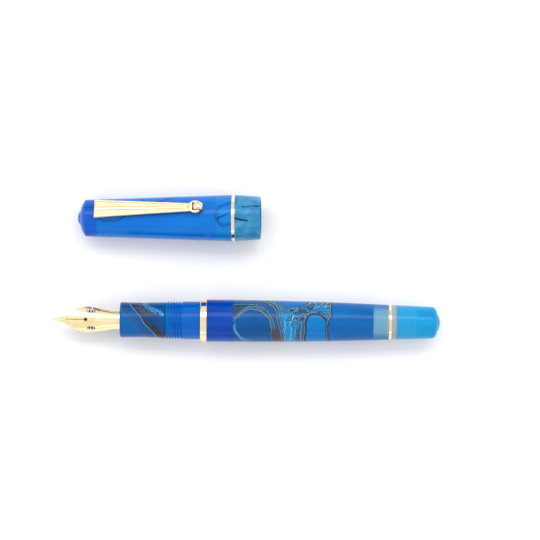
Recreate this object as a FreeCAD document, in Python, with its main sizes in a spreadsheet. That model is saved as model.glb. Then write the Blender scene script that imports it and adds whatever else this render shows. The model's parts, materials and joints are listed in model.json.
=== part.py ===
"""Fountain pen with a roller-clip cap, uncapped, the cap lying beside the pen. Millimetres.

The pen lies along +X with its nib towards -X, and +Z is up. The origin is on the table, under
the middle of the pen and cap together. Each pen piece is drawn with x measured from the nib's
tip, and each cap piece with x measured from the cap's closed end, both along the axis they are
turned about. A placement then lays the pen or the cap on the table.
"""

import FreeCAD, Part
import math
import os
import re

import Sketcher

# Driving dimensions: alias, value, meaning. Places along the pen are measured from the nib's tip.
PEN_DIMENSIONS = [
    ("pen_length", 129.4, "nib tip to the end of the blind cap"),
    ("section_front", 22.8, "front lip of the grip section"),
    ("section_rear", 37.9, "joint between section and front sleeve"),
    ("cap_thread_rear", 43.8, "end of the threads that the cap screws onto"),
    ("sleeve_rear", 49.5, "end of the front sleeve's visible part"),
    ("centre_ring_rear", 51.7, "rear face of the centre ring"),
    ("collar_rear", 60.5, "seam between the deep collar and the swirled barrel"),
    ("spigot_rear", 66.0, "end of the front sleeve's spigot inside the barrel"),
    ("barrel_rear", 112.3, "rear face of the barrel"),
    ("tail_ring_rear", 113.2, "rear face of the tail ring"),
    ("tenon_rear", 118.3, "end of the barrel's threaded tenon"),
    ("blind_shoulder", 126.9, "where the blind cap's end starts to round"),
    ("lip_radius", 5.9, "section at its front lip"),
    ("lip_round", 0.65, "rounding of the section's front lip"),
    ("waist_arc", 150, "hollow of the grip section, arc radius"),
    ("section_rear_radius", 6.0, "section where it meets the sleeve"),
    ("cap_thread_crest", 6.25, "cap thread, crest radius"),
    ("cap_thread_root", 5.85, "cap thread, root radius"),
    ("cap_thread_pitch", 0.95, "cap thread, crest to crest"),
    ("cap_thread_starts", 3, "cap thread, number of starts"),
    ("sleeve_radius", 6.3, "smooth part of the front sleeve"),
    ("centre_ring_radius", 7.1, "centre ring, the widest part of the pen"),
    ("collar_radius", 7.025, "deep collar"),
    ("barrel_front_radius", 6.98, "barrel behind the collar"),
    ("barrel_rear_radius", 5.82, "barrel at its rear face"),
    ("blind_rear_radius", 5.29, "blind cap where its end starts to round"),
    ("end_round", 2.2, "rounding of the blind cap's end, arc radius"),
    ("end_dome_radius", 3.3, "rim of the shallow dome on the blind cap's end"),
    ("end_dome_height", 1.0, "height of that dome"),
    ("barrel_bore", 4.4, "bore of the barrel"),
    ("spigot_radius", 5.2, "front sleeve's spigot"),
    ("glue_gap", 0.02, "radial gap of a glued or pressed joint"),
    ("sleeve_bore", 4.6, "bore of the front sleeve, and its thread's crest radius"),
    ("thread_gap", 0.1, "gap between the flanks of two threads in mesh"),
    ("flank_slope", 0.5774, "thread flank, tangent of thirty degrees"),
    ("section_thread_crest", 4.95, "section's tenon thread, crest radius"),
    ("section_thread_root", 4.5, "section's tenon thread, root radius"),
    ("section_pitch", 1.0, "section thread, lead of one turn"),
    ("section_tenon_rear", 45.9, "end of the section's threaded tenon"),
    ("section_bore", 3.85, "bore of the section"),
    ("seal_cord_radius", 0.4, "O-ring, radius of its cord"),
    ("seal_radius", 4.85, "O-ring, radius to the middle of its cord"),
    ("seal_seat_radius", 4.42, "bottom of the O-ring's groove"),
    ("seal_room_radius", 5.35, "counterbore around the O-ring"),
    ("seal_room_length", 1.0, "length of the O-ring's groove"),
    ("blind_thread_crest", 4.6, "barrel tenon thread, crest radius"),
    ("blind_thread_root", 4.15, "barrel tenon thread, root radius"),
    ("blind_bore", 4.25, "blind cap bore, and its thread's crest radius"),
    ("blind_pitch", 0.8, "blind cap thread, lead of one turn"),
    ("blind_bore_rear", 119.2, "end of the blind cap's threaded bore"),
    ("knob_room_rear", 122.1, "end of the blind cap's bore around the knob"),
    ("knob_room_radius", 3.6, "radius of that bore"),
    ("tenon_bore", 3.4, "bore through bush and tenon"),
    ("tail_ring_bore", 4.7, "bore of the tail ring"),
    ("bush_front", 107.2, "front face of the brass bush"),
    ("bush_pitch", 0.8, "grooves on the bush"),
    ("bush_groove", 0.25, "depth of those grooves"),
    ("bush_groove_half", 0.08, "half the width of their bottom"),
    ("bush_land_front", 0.5, "plain land ahead of the grooves"),
    ("bush_land_rear", 0.9, "plain land behind the grooves"),
    ("bush_stop", 0.1, "wall of the barrel behind the bush"),
    ("ring_round", 0.45, "rounding of the centre ring's front edge"),
    ("ring_break", 0.1, "break of the centre ring's rear edge"),
    ("tail_ring_proud", 0.03, "tail ring above the barrel"),
    ("rear_edge_length", 0.35, "length of the section's rear chamfer"),
    ("rear_edge_drop", 0.2, "depth of that chamfer"),
    ("lead_in_drop", 0.1, "how far the lead-in starts below the cap thread's root"),
    ("thread_neck", 0.35, "plain neck behind the cap thread"),
    ("neck_rise", 0.25, "slope from that neck up to the sleeve"),
    ("tenon_neck", 0.05, "how far the tenon's neck lies below the thread's root"),
]
INNER_DIMENSIONS = [
    ("housing_front", 23.5, "front of the nib housing"),
    ("housing_rear", 36.0, "rear wall of the nib housing"),
    ("housing_radius", 3.8, "nib housing, outside"),
    ("housing_bore", 3.34, "nib housing, inside"),
    ("housing_wall", 1.0, "thickness of the housing's rear wall"),
    ("nipple_rear", 41.0, "end of the nipple that the converter pushes onto"),
    ("nipple_radius", 1.9, "nipple, outside"),
    ("ink_channel", 0.9, "bore of the nipple"),
    ("converter_front", 37.0, "front of the converter"),
    ("converter_mouth_rear", 42.0, "end of the converter's thick mouth"),
    ("converter_rear", 92.0, "end of the converter's clear tube"),
    ("tube_radius", 3.25, "converter tube, outside"),
    ("tube_bore", 2.8, "converter tube, inside"),
    ("mouth_bore", 1.94, "bore of the converter's mouth"),
    ("band_radius", 3.7, "metal collar and drive neck of the converter"),
    ("band_rear", 47.0, "end of the converter's metal collar"),
    ("neck_front", 88.0, "front of the drive neck"),
    ("neck_rear", 100.0, "rear of the drive neck"),
    ("neck_bore", 2.6, "bore of the drive neck behind the tube"),
    ("stem_front", 93.0, "front of the knob's hollow stem"),
    ("stem_radius", 2.5, "stem of the knob"),
    ("stem_bore", 1.8, "bore of the stem"),
    ("knob_front", 118.7, "front of the knurled knob"),
    ("knob_rear", 121.5, "end of the knurled knob"),
    ("knob_radius", 3.1, "knurled knob"),
    ("knurl_depth", 0.22, "depth of a knurl groove"),
    ("knurl_count", 20, "number of knurl grooves"),
    ("piston_front", 87.0, "front of the piston seal, at the end of its travel"),
    ("piston_length", 4.0, "length of the piston seal"),
    ("piston_radius", 2.75, "lips of the piston seal"),
    ("piston_waist", 2.35, "piston seal between its lips"),
    ("rod_radius", 1.65, "piston rod, outside"),
    ("rod_bore", 1.1, "piston rod, inside"),
    ("rod_rear", 112.0, "end of the piston rod"),
    ("screw_radius", 1.0, "drive screw, crest radius"),
    ("screw_front", 95.0, "front of the drive screw"),
    ("screw_pitch", 1.0, "drive screw, crest to crest"),
    ("screw_starts", 4, "drive screw, number of starts"),
    ("screw_groove", 0.25, "drive screw, depth of its grooves"),
    ("screw_groove_half", 0.1, "half the width of a groove's bottom"),
    ("screw_mouth_half", 0.3, "half the width of a groove's mouth"),
    ("screw_anchor", 4.0, "how far the stem's solid end starts behind the rod"),
    ("rod_room", 0.8, "room behind the piston rod"),
    ("rod_ahead", 1.0, "bore of the rod ahead of the drive screw"),
    ("mouth_step", 0.5, "slope between the converter's mouth and its tube"),
    ("knob_chamfer", 0.4, "chamfer on the knob's rear"),
    ("knurl_half", 0.2, "half the width of a knurl groove"),
    ("piston_lip", 1.0, "length of each lip of the piston seal"),
    ("piston_slope", 0.4, "slope between a lip and the waist"),
]
NIB_DIMENSIONS = [
    ("nib_length", 34.5, "nib from tip to heel"),
    ("nib_thickness", 0.5, "sheet that the nib is formed from"),
    ("nib_radius", 3.28, "nib where it is held in the housing"),
    ("nib_crown_drop", 2.5, "how far the nib's crown falls from the section to its tip"),
    ("nib_open_radius", 6.5, "how much the nib's arc opens towards its tip"),
    ("crown_power", 0.9, "how evenly the crown falls: 1 is a straight line"),
    ("open_power", 1.3, "how late the arc opens: 1 is evenly"),
    ("tine_power", 1.75, "how hollow the tines are near the tip"),
    ("shoulder_power", 1.6, "how round the shoulders are"),
    ("nib_bend", 21.0, "where the nib starts to leave the round of the housing"),
    ("nib_tip_half", 0.36, "half the width of the nib at its tip"),
    ("nib_shoulder_half", 4.33, "half the width of the nib at its shoulders"),
    ("nib_shoulder", 11.6, "where the nib is widest"),
    ("nib_heel_half", 3.22, "half the width of the nib in the housing"),
    ("slit_width", 0.16, "slit between the tines"),
    ("breather_place", 11.4, "centre of the breather hole"),
    ("breather_radius", 0.57, "breather hole"),
    ("side_slot_front", 11.8, "front end of each side slot"),
    ("side_slot_rear", 14.6, "rear end of each side slot"),
    ("side_slot_offset", 2.8, "side slot from the nib's centre line"),
    ("side_slot_width", 1.0, "width of a side slot"),
    ("side_cut_place", 13.5, "narrow cut from each side slot to the nib's edge"),
    ("side_cut_width", 0.35, "width of that cut"),
    ("tipping_radius", 0.42, "ball of hard metal on the nib's tip"),
    ("tipping_drop", 0.231, "centre of that ball below the sheet"),
    ("feed_front", 4.5, "front end of the feed"),
    ("feed_radius", 2.72, "feed under the nib"),
    ("feed_keel_radius", 3.25, "underside of the feed"),
    ("comb_radius", 3.2, "wide fins of the feed's comb, under the nib's shoulders"),
    ("comb_length", 6.1, "length of those wide fins"),
    ("feed_keel_front", 17.0, "front of the feed's keel"),
    ("feed_keel_top", 0.9, "upper face of the keel below the pen's axis"),
    ("feed_taper", 3.0, "end of the feed's point ahead of the nib's shoulders"),
    ("feed_point_radius", 0.5, "feed at its front end"),
    ("feed_gap", 0.04, "gap between feed and nib"),
    ("fin_front", 11.0, "first fin of the feed's comb"),
    ("fin_pitch", 0.9, "fin to fin"),
    ("fin_slot", 0.45, "gap between two fins"),
    ("fin_depth", 1.2, "depth of a gap between fins"),
    ("fin_count", 11, "number of gaps between fins"),
]
CAP_DIMENSIONS = [
    ("cap_length", 61.0, "closed end to mouth"),
    ("cap_shoulder", 2.6, "where the cap's end starts to round"),
    ("cap_shoulder_radius", 6.12, "cap at that shoulder"),
    ("cap_end_round", 6.6, "rounding of the cap's end, arc radius"),
    ("cap_dome_radius", 2.6, "rim of the shallow dome on the cap's end"),
    ("cap_dome_height", 0.95, "height of that dome"),
    ("band_front_place", 51.4, "front face of the cap band"),
    ("band_width", 1.15, "width of the cap band"),
    ("cap_band_radius", 7.77, "cap band"),
    ("cap_wide_radius", 7.74, "cap at its band"),
    ("band_seat", 7.25, "bottom of the band's groove"),
    ("mouth_radius", 7.17, "cap at its mouth"),
    ("mouth_round", 0.3, "rounding of the mouth's edge"),
    ("cap_bore_front", 6.5, "end of the cap's bore, at its closed end"),
    ("cap_bore", 5.2, "bore around the inner cap"),
    ("section_room_front", 31.5, "start of the bore that takes the grip section"),
    ("section_room", 6.12, "radius of that bore"),
    ("cap_nut_front", 48.6, "start of the thread inside the cap"),
    ("cap_nut_rear", 55.4, "end of that thread"),
    ("cap_nut_bore", 5.97, "thread inside the cap, crest radius"),
    ("cap_nut_root", 6.4, "thread inside the cap, root radius"),
    ("mouth_bore_radius", 6.45, "bore of the cap's mouth"),
    ("liner_front", 12.0, "closed end of the inner cap"),
    ("liner_rear", 34.0, "rim of the inner cap"),
    ("liner_radius", 5.15, "inner cap, outside"),
    ("liner_bore", 4.6, "inner cap, inside"),
    ("liner_rim", 6.05, "rim of the inner cap"),
    ("retainer_rear", 10.2, "inner face of the clip retainer"),
    ("retainer_radius", 5.1, "clip retainer"),
    ("screw_shank", 1.2, "clip screw, shank radius"),
    ("screw_head", 2.3, "clip screw, head radius"),
    ("screw_end", 3.6, "end of the clip screw"),
    ("screw_head_height", 1.3, "height of the clip screw's head"),
    ("screw_drive", 0.5, "width of the clip screw's slot"),
    ("driver_depth", 0.6, "depth of that slot"),
    ("nut_land_front", 0.8, "plain land ahead of the thread inside the cap"),
    ("nut_land_rear", 0.9, "plain land behind that thread"),
    ("liner_chamfer", 0.4, "chamfer on the inner cap's closed end"),
    ("liner_wall", 0.9, "closed end of the inner cap"),
    ("slot_depth", 1.2, "how far the clip's slot reaches inside the cap's bore"),
    ("notch_depth", 2.2, "depth of the notch in the retainer"),
]
CLIP_DIMENSIONS = [
    ("clip_start", 6.0, "wide end of the clip, from the cap's closed end"),
    ("clip_turn", 23, "clip turned about the cap's axis, degrees from straight up"),
    ("arm_length", 32.0, "clip arm, wide end to its eye"),
    ("arm_wide", 6.2, "width of the arm at its wide end"),
    ("arm_narrow", 2.8, "width of the arm at its eye"),
    ("arm_tail", 0.6, "how far the arm runs on into the eye"),
    ("arm_under", 0.85, "underside of the arm above the cap"),
    ("arm_thick", 1.05, "thickness of the arm"),
    ("arm_edge", 0.3, "rounding of the arm's upper edges"),
    ("rim_width", 0.55, "raised rim around the arm's upper face"),
    ("rim_depth", 0.16, "depth of the face inside that rim"),
    ("ridge_half", 0.5, "half the width of the ridge along the arm"),
    ("ridge_end_half", 0.25, "half the width of the ridge at its end"),
    ("rim_end_width", 0.44, "rim where the sunk faces end"),
    ("ridge_fade", 4.0, "end of the ridge ahead of the arm's end"),
    ("panel_fade", 2.0, "end of the sunk faces ahead of the arm's end"),
    ("foot_front", 1.2, "front of the clip's foot"),
    ("foot_rear", 3.1, "rear of the clip's foot"),
    ("foot_width", 3.0, "width of the foot and its tab"),
    ("foot_rise", 0.2, "how far the foot reaches up into the arm"),
    ("tab_reach", 2.0, "how far the tab reaches under the cap's surface"),
    ("slot_gap", 0.3, "gap around the tab in its slot"),
    ("eye_place", 33.6, "centre of the eye, from the wide end"),
    ("eye_radius", 2.2, "round eye at the end of the arm"),
    ("eye_under", 0.62, "underside of the eye"),
    ("eye_top", 2.45, "top of the eye"),
    ("fork_gap", 2.8, "slot in the eye that takes the roller"),
    ("fork_front", 32.7, "closed end of that slot"),
    ("roller_place", 34.6, "roller's centre, from the wide end"),
    ("roller_height", 1.82, "roller's centre above the cap"),
    ("roller_radius", 1.8, "roller at its middle"),
    ("roller_edge", 1.4, "roller at its ends"),
    ("roller_break", 0.14, "rise of the chamfer at each end of the roller"),
    ("roller_width", 2.5, "roller"),
    ("roller_bore", 0.5, "bore of the roller"),
    ("axle_radius", 0.45, "roller axle"),
    ("axle_length", 3.9, "roller axle"),
]
DETAIL_DIMENSIONS = [
    ("seam", 0.01, "half the gap between two faces that meet"),
    ("face_gap", 0.02, "gap between two end faces that meet"),
    ("step_gap", 0.05, "gap behind a piece that stops against a step"),
    ("end_gap", 0.1, "gap at the end of a pin or a tab"),
    ("band_break", 0.08, "break of a band's or collar's edge"),
    ("fine_break", 0.15, "break of a bore's edge"),
    ("small_chamfer", 0.2, "chamfer on a small piece"),
    ("chamfer", 0.3, "chamfer on a tenon, a seal or a screw"),
    ("run_in", 0.4, "how far a thread starts ahead of its tenon"),
    ("cap_run_in", 0.35, "start of the cap thread behind the section"),
    ("cap_run_out", 0.25, "end of the cap thread ahead of its neck"),
    ("blind_run_in", 0.2, "start of the blind cap's thread ahead of the tail ring's rear"),
    ("section_root_half", 0.16, "half the width of the section thread's root"),
    ("cap_root_half", 0.12, "half the width of the cap thread's root"),
    ("blind_root_half", 0.1, "half the width of the blind cap thread's root"),
    ("groove_past", 0.12, "how far a groove's mouth passes the crest that it cuts"),
    ("overshoot", 1.0, "how far a cutting shape reaches past the material"),
    ("station_gap", 0.6, "longest gap between the nib's cross-sections"),
]
LAYOUT_DIMENSIONS = [
    ("cap_ahead", 8.37, "cap's closed end behind the nib's tip, along the pen"),
    ("cap_beside", 33.71, "cap's closed end beside the pen's axis"),
    ("cap_yaw", 0.56, "cap turned away from the pen on the table, degrees"),
]
DIMENSIONS = (
    PEN_DIMENSIONS
    + INNER_DIMENSIONS
    + NIB_DIMENSIONS
    + CAP_DIMENSIONS
    + CLIP_DIMENSIONS
    + DETAIL_DIMENSIONS
    + LAYOUT_DIMENSIONS
)

document = FreeCAD.newDocument("fountain_pen")
sheet = document.addObject("Spreadsheet::Sheet", "dims")
for row, (alias, number, meaning) in enumerate(DIMENSIONS, start=1):
    sheet.set(f"A{row}", meaning)
    sheet.set(f"B{row}", str(number))
    sheet.setAlias(f"B{row}", alias)
document.recompute()

FUNCTIONS = ("sqrt", "tan", "sin", "cos", "pow")


def size(alias):
    """A driving dimension's number."""
    return float(getattr(sheet, alias))


def bound(words):
    """An expression in the sheet's words, as the document understands it."""
    return re.sub(
        r"[a-z_]{2,}",
        lambda word: word.group() if word.group() in FUNCTIONS else "dims." + word.group(),
        str(words),
    )


def number_of(words):
    """The number that an expression in the sheet's words gives now."""
    answer = sheet.evalExpression(bound(words))
    return float(getattr(answer, "Value", answer))


# ---------------------------------------------------------------- bodies, sketches and features

SMALLEST_CUT = 1e-6


def new_body(label):
    body = document.addObject("PartDesign::Body", label)
    body.Label = label
    return body


def origin_part(body, role):
    return next(item for item in body.Origin.OriginFeatures if item.Role == role)


def new_sketch(body, name, role="XY_Plane", offset=None):
    sketch = body.newObject("Sketcher::SketchObject", name)
    sketch.AttachmentSupport = [(origin_part(body, role), "")]
    sketch.MapMode = "FlatFace"
    if offset:
        sketch.setExpression(".AttachmentOffset.Base.z", bound(offset))
    return sketch


def pin_down(sketch, kind, where, words):
    """Constrain one coordinate or radius, and bind it to the sheet."""
    index = sketch.addConstraint(Sketcher.Constraint(kind, *where, number_of(words)))
    sketch.setExpression(f"Constraints[{index}]", bound(words))


def arc_between(start, end, radius):
    """The shorter arc from start to end. A radius over 0 bulges to the left of the way travelled.

    Returns the arc and whether it runs clockwise, because an arc's own start is its first point
    counter-clockwise.
    """
    chord = end - start
    middle = (start + end) / 2
    left = FreeCAD.Vector(-chord.y, chord.x, 0).normalize()
    rise = math.sqrt(radius**2 - (chord.Length / 2) ** 2)
    clockwise = radius > 0
    centre = middle - left * rise if clockwise else middle + left * rise
    first, last = (end, start) if clockwise else (start, end)
    angles = [math.atan2(point.y - centre.y, point.x - centre.x) for point in (first, last)]
    if angles[1] < angles[0]:
        angles[1] += 2 * math.pi
    circle = Part.Circle(centre, FreeCAD.Vector(0, 0, 1), abs(radius))
    return Part.ArcOfCircle(circle, *angles), clockwise


def draw_outline(sketch, corners):
    """A closed outline. A corner is (across, up), or (across, up, radius) if an arc leaves it.

    The edges are joined at their ends, and each corner and radius is bound to the sheet.
    """
    places = [FreeCAD.Vector(number_of(c[0]), number_of(c[1]), 0) for c in corners]
    edges = []
    for corner, start, end in zip(corners, places, places[1:] + places[:1]):
        if len(corner) == 3:
            curve, clockwise = arc_between(start, end, number_of(corner[2]))
            index = sketch.addGeometry(curve)
            edges.append((index, 2, 1) if clockwise else (index, 1, 2))
        else:
            index = sketch.addGeometry(Part.LineSegment(start, end))
            edges.append((index, 1, 2))
    for before, after in zip(edges[-1:] + edges[:-1], edges):
        sketch.addConstraint(
            Sketcher.Constraint("Coincident", before[0], before[2], after[0], after[1])
        )
    for corner, (index, first, _) in zip(corners, edges):
        pin_down(sketch, "DistanceX", (-1, 1, index, first), corner[0])
        pin_down(sketch, "DistanceY", (-1, 1, index, first), corner[1])
        if len(corner) == 3:
            pin_down(sketch, "Radius", (index,), f"sqrt(pow({corner[2]}; 2))")


def turned(label, corners):
    """A body turned about the X axis, from an outline of (along, radius) corners."""
    body = new_body(label)
    sketch = new_sketch(body, label + "_outline")
    draw_outline(sketch, corners)
    turning = body.newObject("PartDesign::Revolution", label + "_turning")
    turning.Profile = sketch
    turning.ReferenceAxis = (origin_part(body, "X_Axis"), [""])
    turning.Angle = 360
    document.recompute()
    return body


def dome_arc(radius, height):
    """Radius of the arc that a dome is turned from, from its rim's radius and its height."""
    return f"(pow({radius}; 2) + pow({height}; 2)) / (2 * {height})"


def volume_changed(body, before, what):
    if abs(body.Shape.Volume - before) < SMALLEST_CUT:
        raise RuntimeError(f"{what} changed nothing on {body.Label}")


def cut_thread(body, name, start, length, groove, pitch, starts="1"):
    """Cut a helical groove about the X axis.

    groove is (radius, half width) at the groove's bottom and at its mouth, both in the sheet's
    words. A thread with several starts repeats the groove around the axis.
    """
    before = body.Shape.Volume
    (bottom, bottom_half), (mouth, mouth_half) = groove
    sketch = new_sketch(body, name + "_profile")
    draw_outline(
        sketch,
        [
            (f"{start} - ({bottom_half})", bottom),
            (f"{start} + ({bottom_half})", bottom),
            (f"{start} + ({mouth_half})", mouth),
            (f"{start} - ({mouth_half})", mouth),
        ],
    )
    helix = body.newObject("PartDesign::SubtractiveHelix", name)
    helix.Profile = sketch
    helix.ReferenceAxis = (origin_part(body, "X_Axis"), [""])
    helix.Mode = 0
    helix.setExpression("Pitch", bound(f"{pitch} * {starts}"))
    helix.setExpression("Height", bound(length))
    document.recompute()
    if number_of(starts) > 1:
        pattern = body.newObject("PartDesign::PolarPattern", name + "_starts")
        pattern.Originals = [helix]
        pattern.Axis = (origin_part(body, "X_Axis"), [""])
        pattern.Angle = 360
        pattern.setExpression("Occurrences", bound(starts))
        body.Tip = pattern
        document.recompute()
    volume_changed(body, before, name)


def shaft_groove(crest, root, root_half):
    """Bottom and mouth of the groove that leaves a male thread, its mouth a little past the crest."""
    mouth_half = f"{root_half} + ({crest} - {root} + groove_past) * flank_slope"
    return (root, root_half), (f"{crest} + groove_past", mouth_half)


def nut_groove(crest, root, male_root, pitch, root_half):
    """Bottom and mouth of the groove inside a nut, wider than the male tooth by the thread's gap.

    The tooth's half width at a radius is half the pitch less the male groove's half width there.
    """

    def half_at(radius):
        tooth = f"{pitch} / 2 - {root_half} - ({radius} - {male_root}) * flank_slope"
        return f"{tooth} + thread_gap"

    mouth = f"{crest} - groove_past"
    return (root, half_at(root)), (mouth, half_at(f"({mouth})"))


def block_cut(body, name, role, offset, corners, reach, both_ways=False):
    """Pocket an outline, drawn on one of the body's planes, towards the material."""
    before = body.Shape.Volume
    sketch = new_sketch(body, name + "_outline", role, offset)
    draw_outline(sketch, corners)
    pocket = body.newObject("PartDesign::Pocket", name)
    pocket.Profile = sketch
    pocket.setExpression("Length", bound(reach))
    pocket.Midplane = both_ways
    document.recompute()
    volume_changed(body, before, name)
    return pocket


# ------------------------------------------------------------------------- pen: turned pieces


def make_grip_section():
    """Hollow-waisted grip, with the tenon that screws into the front sleeve."""
    body = turned(
        "grip_section",
        [
            ("section_front", "section_bore + fine_break"),
            ("section_front", "lip_radius - lip_round", "lip_round"),
            ("section_front + lip_round", "lip_radius", "-waist_arc"),
            ("section_rear - rear_edge_length", "section_rear_radius"),
            ("section_rear", "section_rear_radius - rear_edge_drop"),
            ("section_rear", "seal_seat_radius"),
            ("section_rear + seal_room_length", "seal_seat_radius"),
            ("section_rear + seal_room_length", "section_thread_crest"),
            ("section_tenon_rear - chamfer", "section_thread_crest"),
            ("section_tenon_rear", "section_thread_crest - chamfer"),
            ("section_tenon_rear", "section_bore"),
            ("section_front + fine_break", "section_bore"),
        ],
    )
    cut_thread(
        body,
        "section_thread",
        "section_rear + seal_room_length - run_in",
        "section_tenon_rear - section_rear",
        shaft_groove("section_thread_crest", "section_thread_root", "section_root_half"),
        "section_pitch",
    )


def make_section_seal():
    """O-ring between section and front sleeve, drawn as a turned circle of four arcs."""
    centre = "section_rear + seal_room_length / 2"
    turned(
        "section_seal",
        [
            (f"{centre} - seal_cord_radius", "seal_radius", "seal_cord_radius"),
            (centre, "seal_radius + seal_cord_radius", "seal_cord_radius"),
            (f"{centre} + seal_cord_radius", "seal_radius", "seal_cord_radius"),
            (centre, "seal_radius - seal_cord_radius", "seal_cord_radius"),
        ],
    )


def make_front_sleeve():
    """Sleeve with the cap thread outside, the section's thread inside, and a spigot behind."""
    body = turned(
        "front_sleeve",
        [
            ("section_rear + face_gap", "seal_room_radius"),
            ("section_rear + face_gap", "cap_thread_root - lead_in_drop"),
            ("section_rear + face_gap + run_in", "cap_thread_crest"),
            ("cap_thread_rear", "cap_thread_crest"),
            ("cap_thread_rear", "cap_thread_root"),
            ("cap_thread_rear + thread_neck", "cap_thread_root"),
            ("cap_thread_rear + thread_neck + neck_rise", "sleeve_radius"),
            ("sleeve_rear", "sleeve_radius"),
            ("sleeve_rear", "spigot_radius"),
            ("spigot_rear", "spigot_radius"),
            ("spigot_rear", "sleeve_bore"),
            ("section_rear + seal_room_length + face_gap", "sleeve_bore"),
            ("section_rear + seal_room_length + face_gap", "seal_room_radius"),
        ],
    )
    cut_thread(
        body,
        "cap_thread",
        "section_rear + cap_run_in",
        "cap_thread_rear - section_rear - cap_run_in - cap_run_out",
        shaft_groove("cap_thread_crest", "cap_thread_root", "cap_root_half"),
        "cap_thread_pitch",
        "cap_thread_starts",
    )
    cut_thread(
        body,
        "section_nut_thread",
        "section_rear + seal_room_length - run_in - section_pitch / 2",
        "section_tenon_rear - section_rear + section_pitch / 2",
        nut_groove(
            "sleeve_bore",
            "section_thread_crest + thread_gap",
            "section_thread_root",
            "section_pitch",
            "section_root_half",
        ),
        "section_pitch",
    )


def make_centre_ring():
    """Gilt ring, rounded at its front edge, on the sleeve's spigot."""
    turned(
        "centre_ring",
        [
            ("sleeve_rear + seam", "spigot_radius + glue_gap"),
            ("sleeve_rear + seam", "centre_ring_radius - ring_round", "ring_round"),
            ("sleeve_rear + seam + ring_round", "centre_ring_radius"),
            ("centre_ring_rear - ring_break", "centre_ring_radius"),
            ("centre_ring_rear", "centre_ring_radius - ring_break"),
            ("centre_ring_rear", "spigot_radius + glue_gap"),
        ],
    )


def make_barrel_collar():
    """Deep-coloured collar between the centre ring and the swirled barrel."""
    turned(
        "barrel_collar",
        [
            ("centre_ring_rear + seam", "spigot_radius + glue_gap"),
            ("centre_ring_rear + seam", "collar_radius - band_break"),
            ("centre_ring_rear + seam + band_break", "collar_radius"),
            ("collar_rear - seam", "collar_radius"),
            ("collar_rear - seam", "spigot_radius + glue_gap"),
        ],
    )


def barrel_taper(steps=12):
    """The barrel's side, which falls with the square of the distance behind the collar."""
    corners = []
    for step in range(steps + 1):
        share = f"{step} / {steps}"
        along = f"collar_rear + (barrel_rear - collar_rear) * {share}"
        drop = f"(barrel_front_radius - barrel_rear_radius) * pow({share}; 2)"
        corners.append((along, f"barrel_front_radius - {drop}"))
    return corners


def make_barrel():
    """Swirled barrel: long arched taper, deep bore, and a threaded tenon for the blind cap."""
    body = turned(
        "barrel",
        [("collar_rear", "spigot_radius + glue_gap")]
        + barrel_taper()
        + [
            ("barrel_rear", "blind_thread_root - tenon_neck"),
            ("tail_ring_rear + chamfer", "blind_thread_root - tenon_neck"),
            ("tail_ring_rear + chamfer * 2", "blind_thread_crest"),
            ("tenon_rear - chamfer", "blind_thread_crest"),
            ("tenon_rear", "blind_thread_crest - chamfer"),
            ("tenon_rear", "tenon_bore"),
            ("barrel_rear - bush_stop", "tenon_bore"),
            ("barrel_rear - bush_stop", "barrel_bore"),
            ("spigot_rear + step_gap", "barrel_bore"),
            ("spigot_rear + step_gap", "spigot_radius + glue_gap"),
        ],
    )
    cut_thread(
        body,
        "blind_thread",
        "tail_ring_rear - blind_run_in",
        "tenon_rear - tail_ring_rear + blind_pitch",
        shaft_groove("blind_thread_crest", "blind_thread_root", "blind_root_half"),
        "blind_pitch",
    )


def make_tail_bush():
    """Grooved brass bush that steadies the converter's knob at the barrel's tail."""
    body = turned(
        "tail_bush",
        [
            ("bush_front", "tenon_bore"),
            ("bush_front", "barrel_bore - glue_gap"),
            ("barrel_rear - bush_stop - face_gap", "barrel_bore - glue_gap"),
            ("barrel_rear - bush_stop - face_gap", "tenon_bore"),
        ],
    )
    cut_thread(
        body,
        "bush_thread",
        "bush_front + bush_land_front",
        "barrel_rear - bush_front - bush_land_front - bush_land_rear",
        (
            ("barrel_bore - bush_groove", "bush_groove_half"),
            (
                "barrel_bore + groove_past",
                "bush_groove_half + (bush_groove + groove_past) * flank_slope",
            ),
        ),
        "bush_pitch",
    )


def make_tail_ring():
    """Gilt ring between the barrel and the blind cap."""
    turned(
        "tail_ring",
        [
            ("barrel_rear + face_gap", "tail_ring_bore"),
            ("barrel_rear + face_gap", "barrel_rear_radius + tail_ring_proud"),
            ("tail_ring_rear", "barrel_rear_radius + seam"),
            ("tail_ring_rear", "tail_ring_bore"),
        ],
    )


def make_blind_cap():
    """Tapered blind cap with a rounded end, threaded on the barrel's tenon, hollow for the knob."""
    body = turned(
        "blind_cap",
        [
            ("tail_ring_rear + face_gap", "tail_ring_bore"),
            ("tail_ring_rear + face_gap", "barrel_rear_radius - face_gap"),
            ("blind_shoulder", "blind_rear_radius", "end_round"),
            (
                "pen_length - end_dome_height",
                "end_dome_radius",
                dome_arc("end_dome_radius", "end_dome_height"),
            ),
            ("pen_length", "0"),
            ("knob_room_rear", "0"),
            ("knob_room_rear", "knob_room_radius - small_chamfer"),
            ("knob_room_rear - small_chamfer", "knob_room_radius"),
            ("blind_bore_rear", "knob_room_radius"),
            ("blind_bore_rear", "blind_bore"),
            ("tail_ring_rear + chamfer * 2", "blind_bore"),
        ],
    )
    cut_thread(
        body,
        "blind_nut_thread",
        "tail_ring_rear - blind_run_in - blind_pitch / 2",
        "tenon_rear - tail_ring_rear + blind_pitch * 1.5",
        nut_groove(
            "blind_bore",
            "blind_thread_crest + thread_gap",
            "blind_thread_root",
            "blind_pitch",
            "blind_root_half",
        ),
        "blind_pitch",
    )


# -------------------------------------------------------------------- pen: filler and housing


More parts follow.
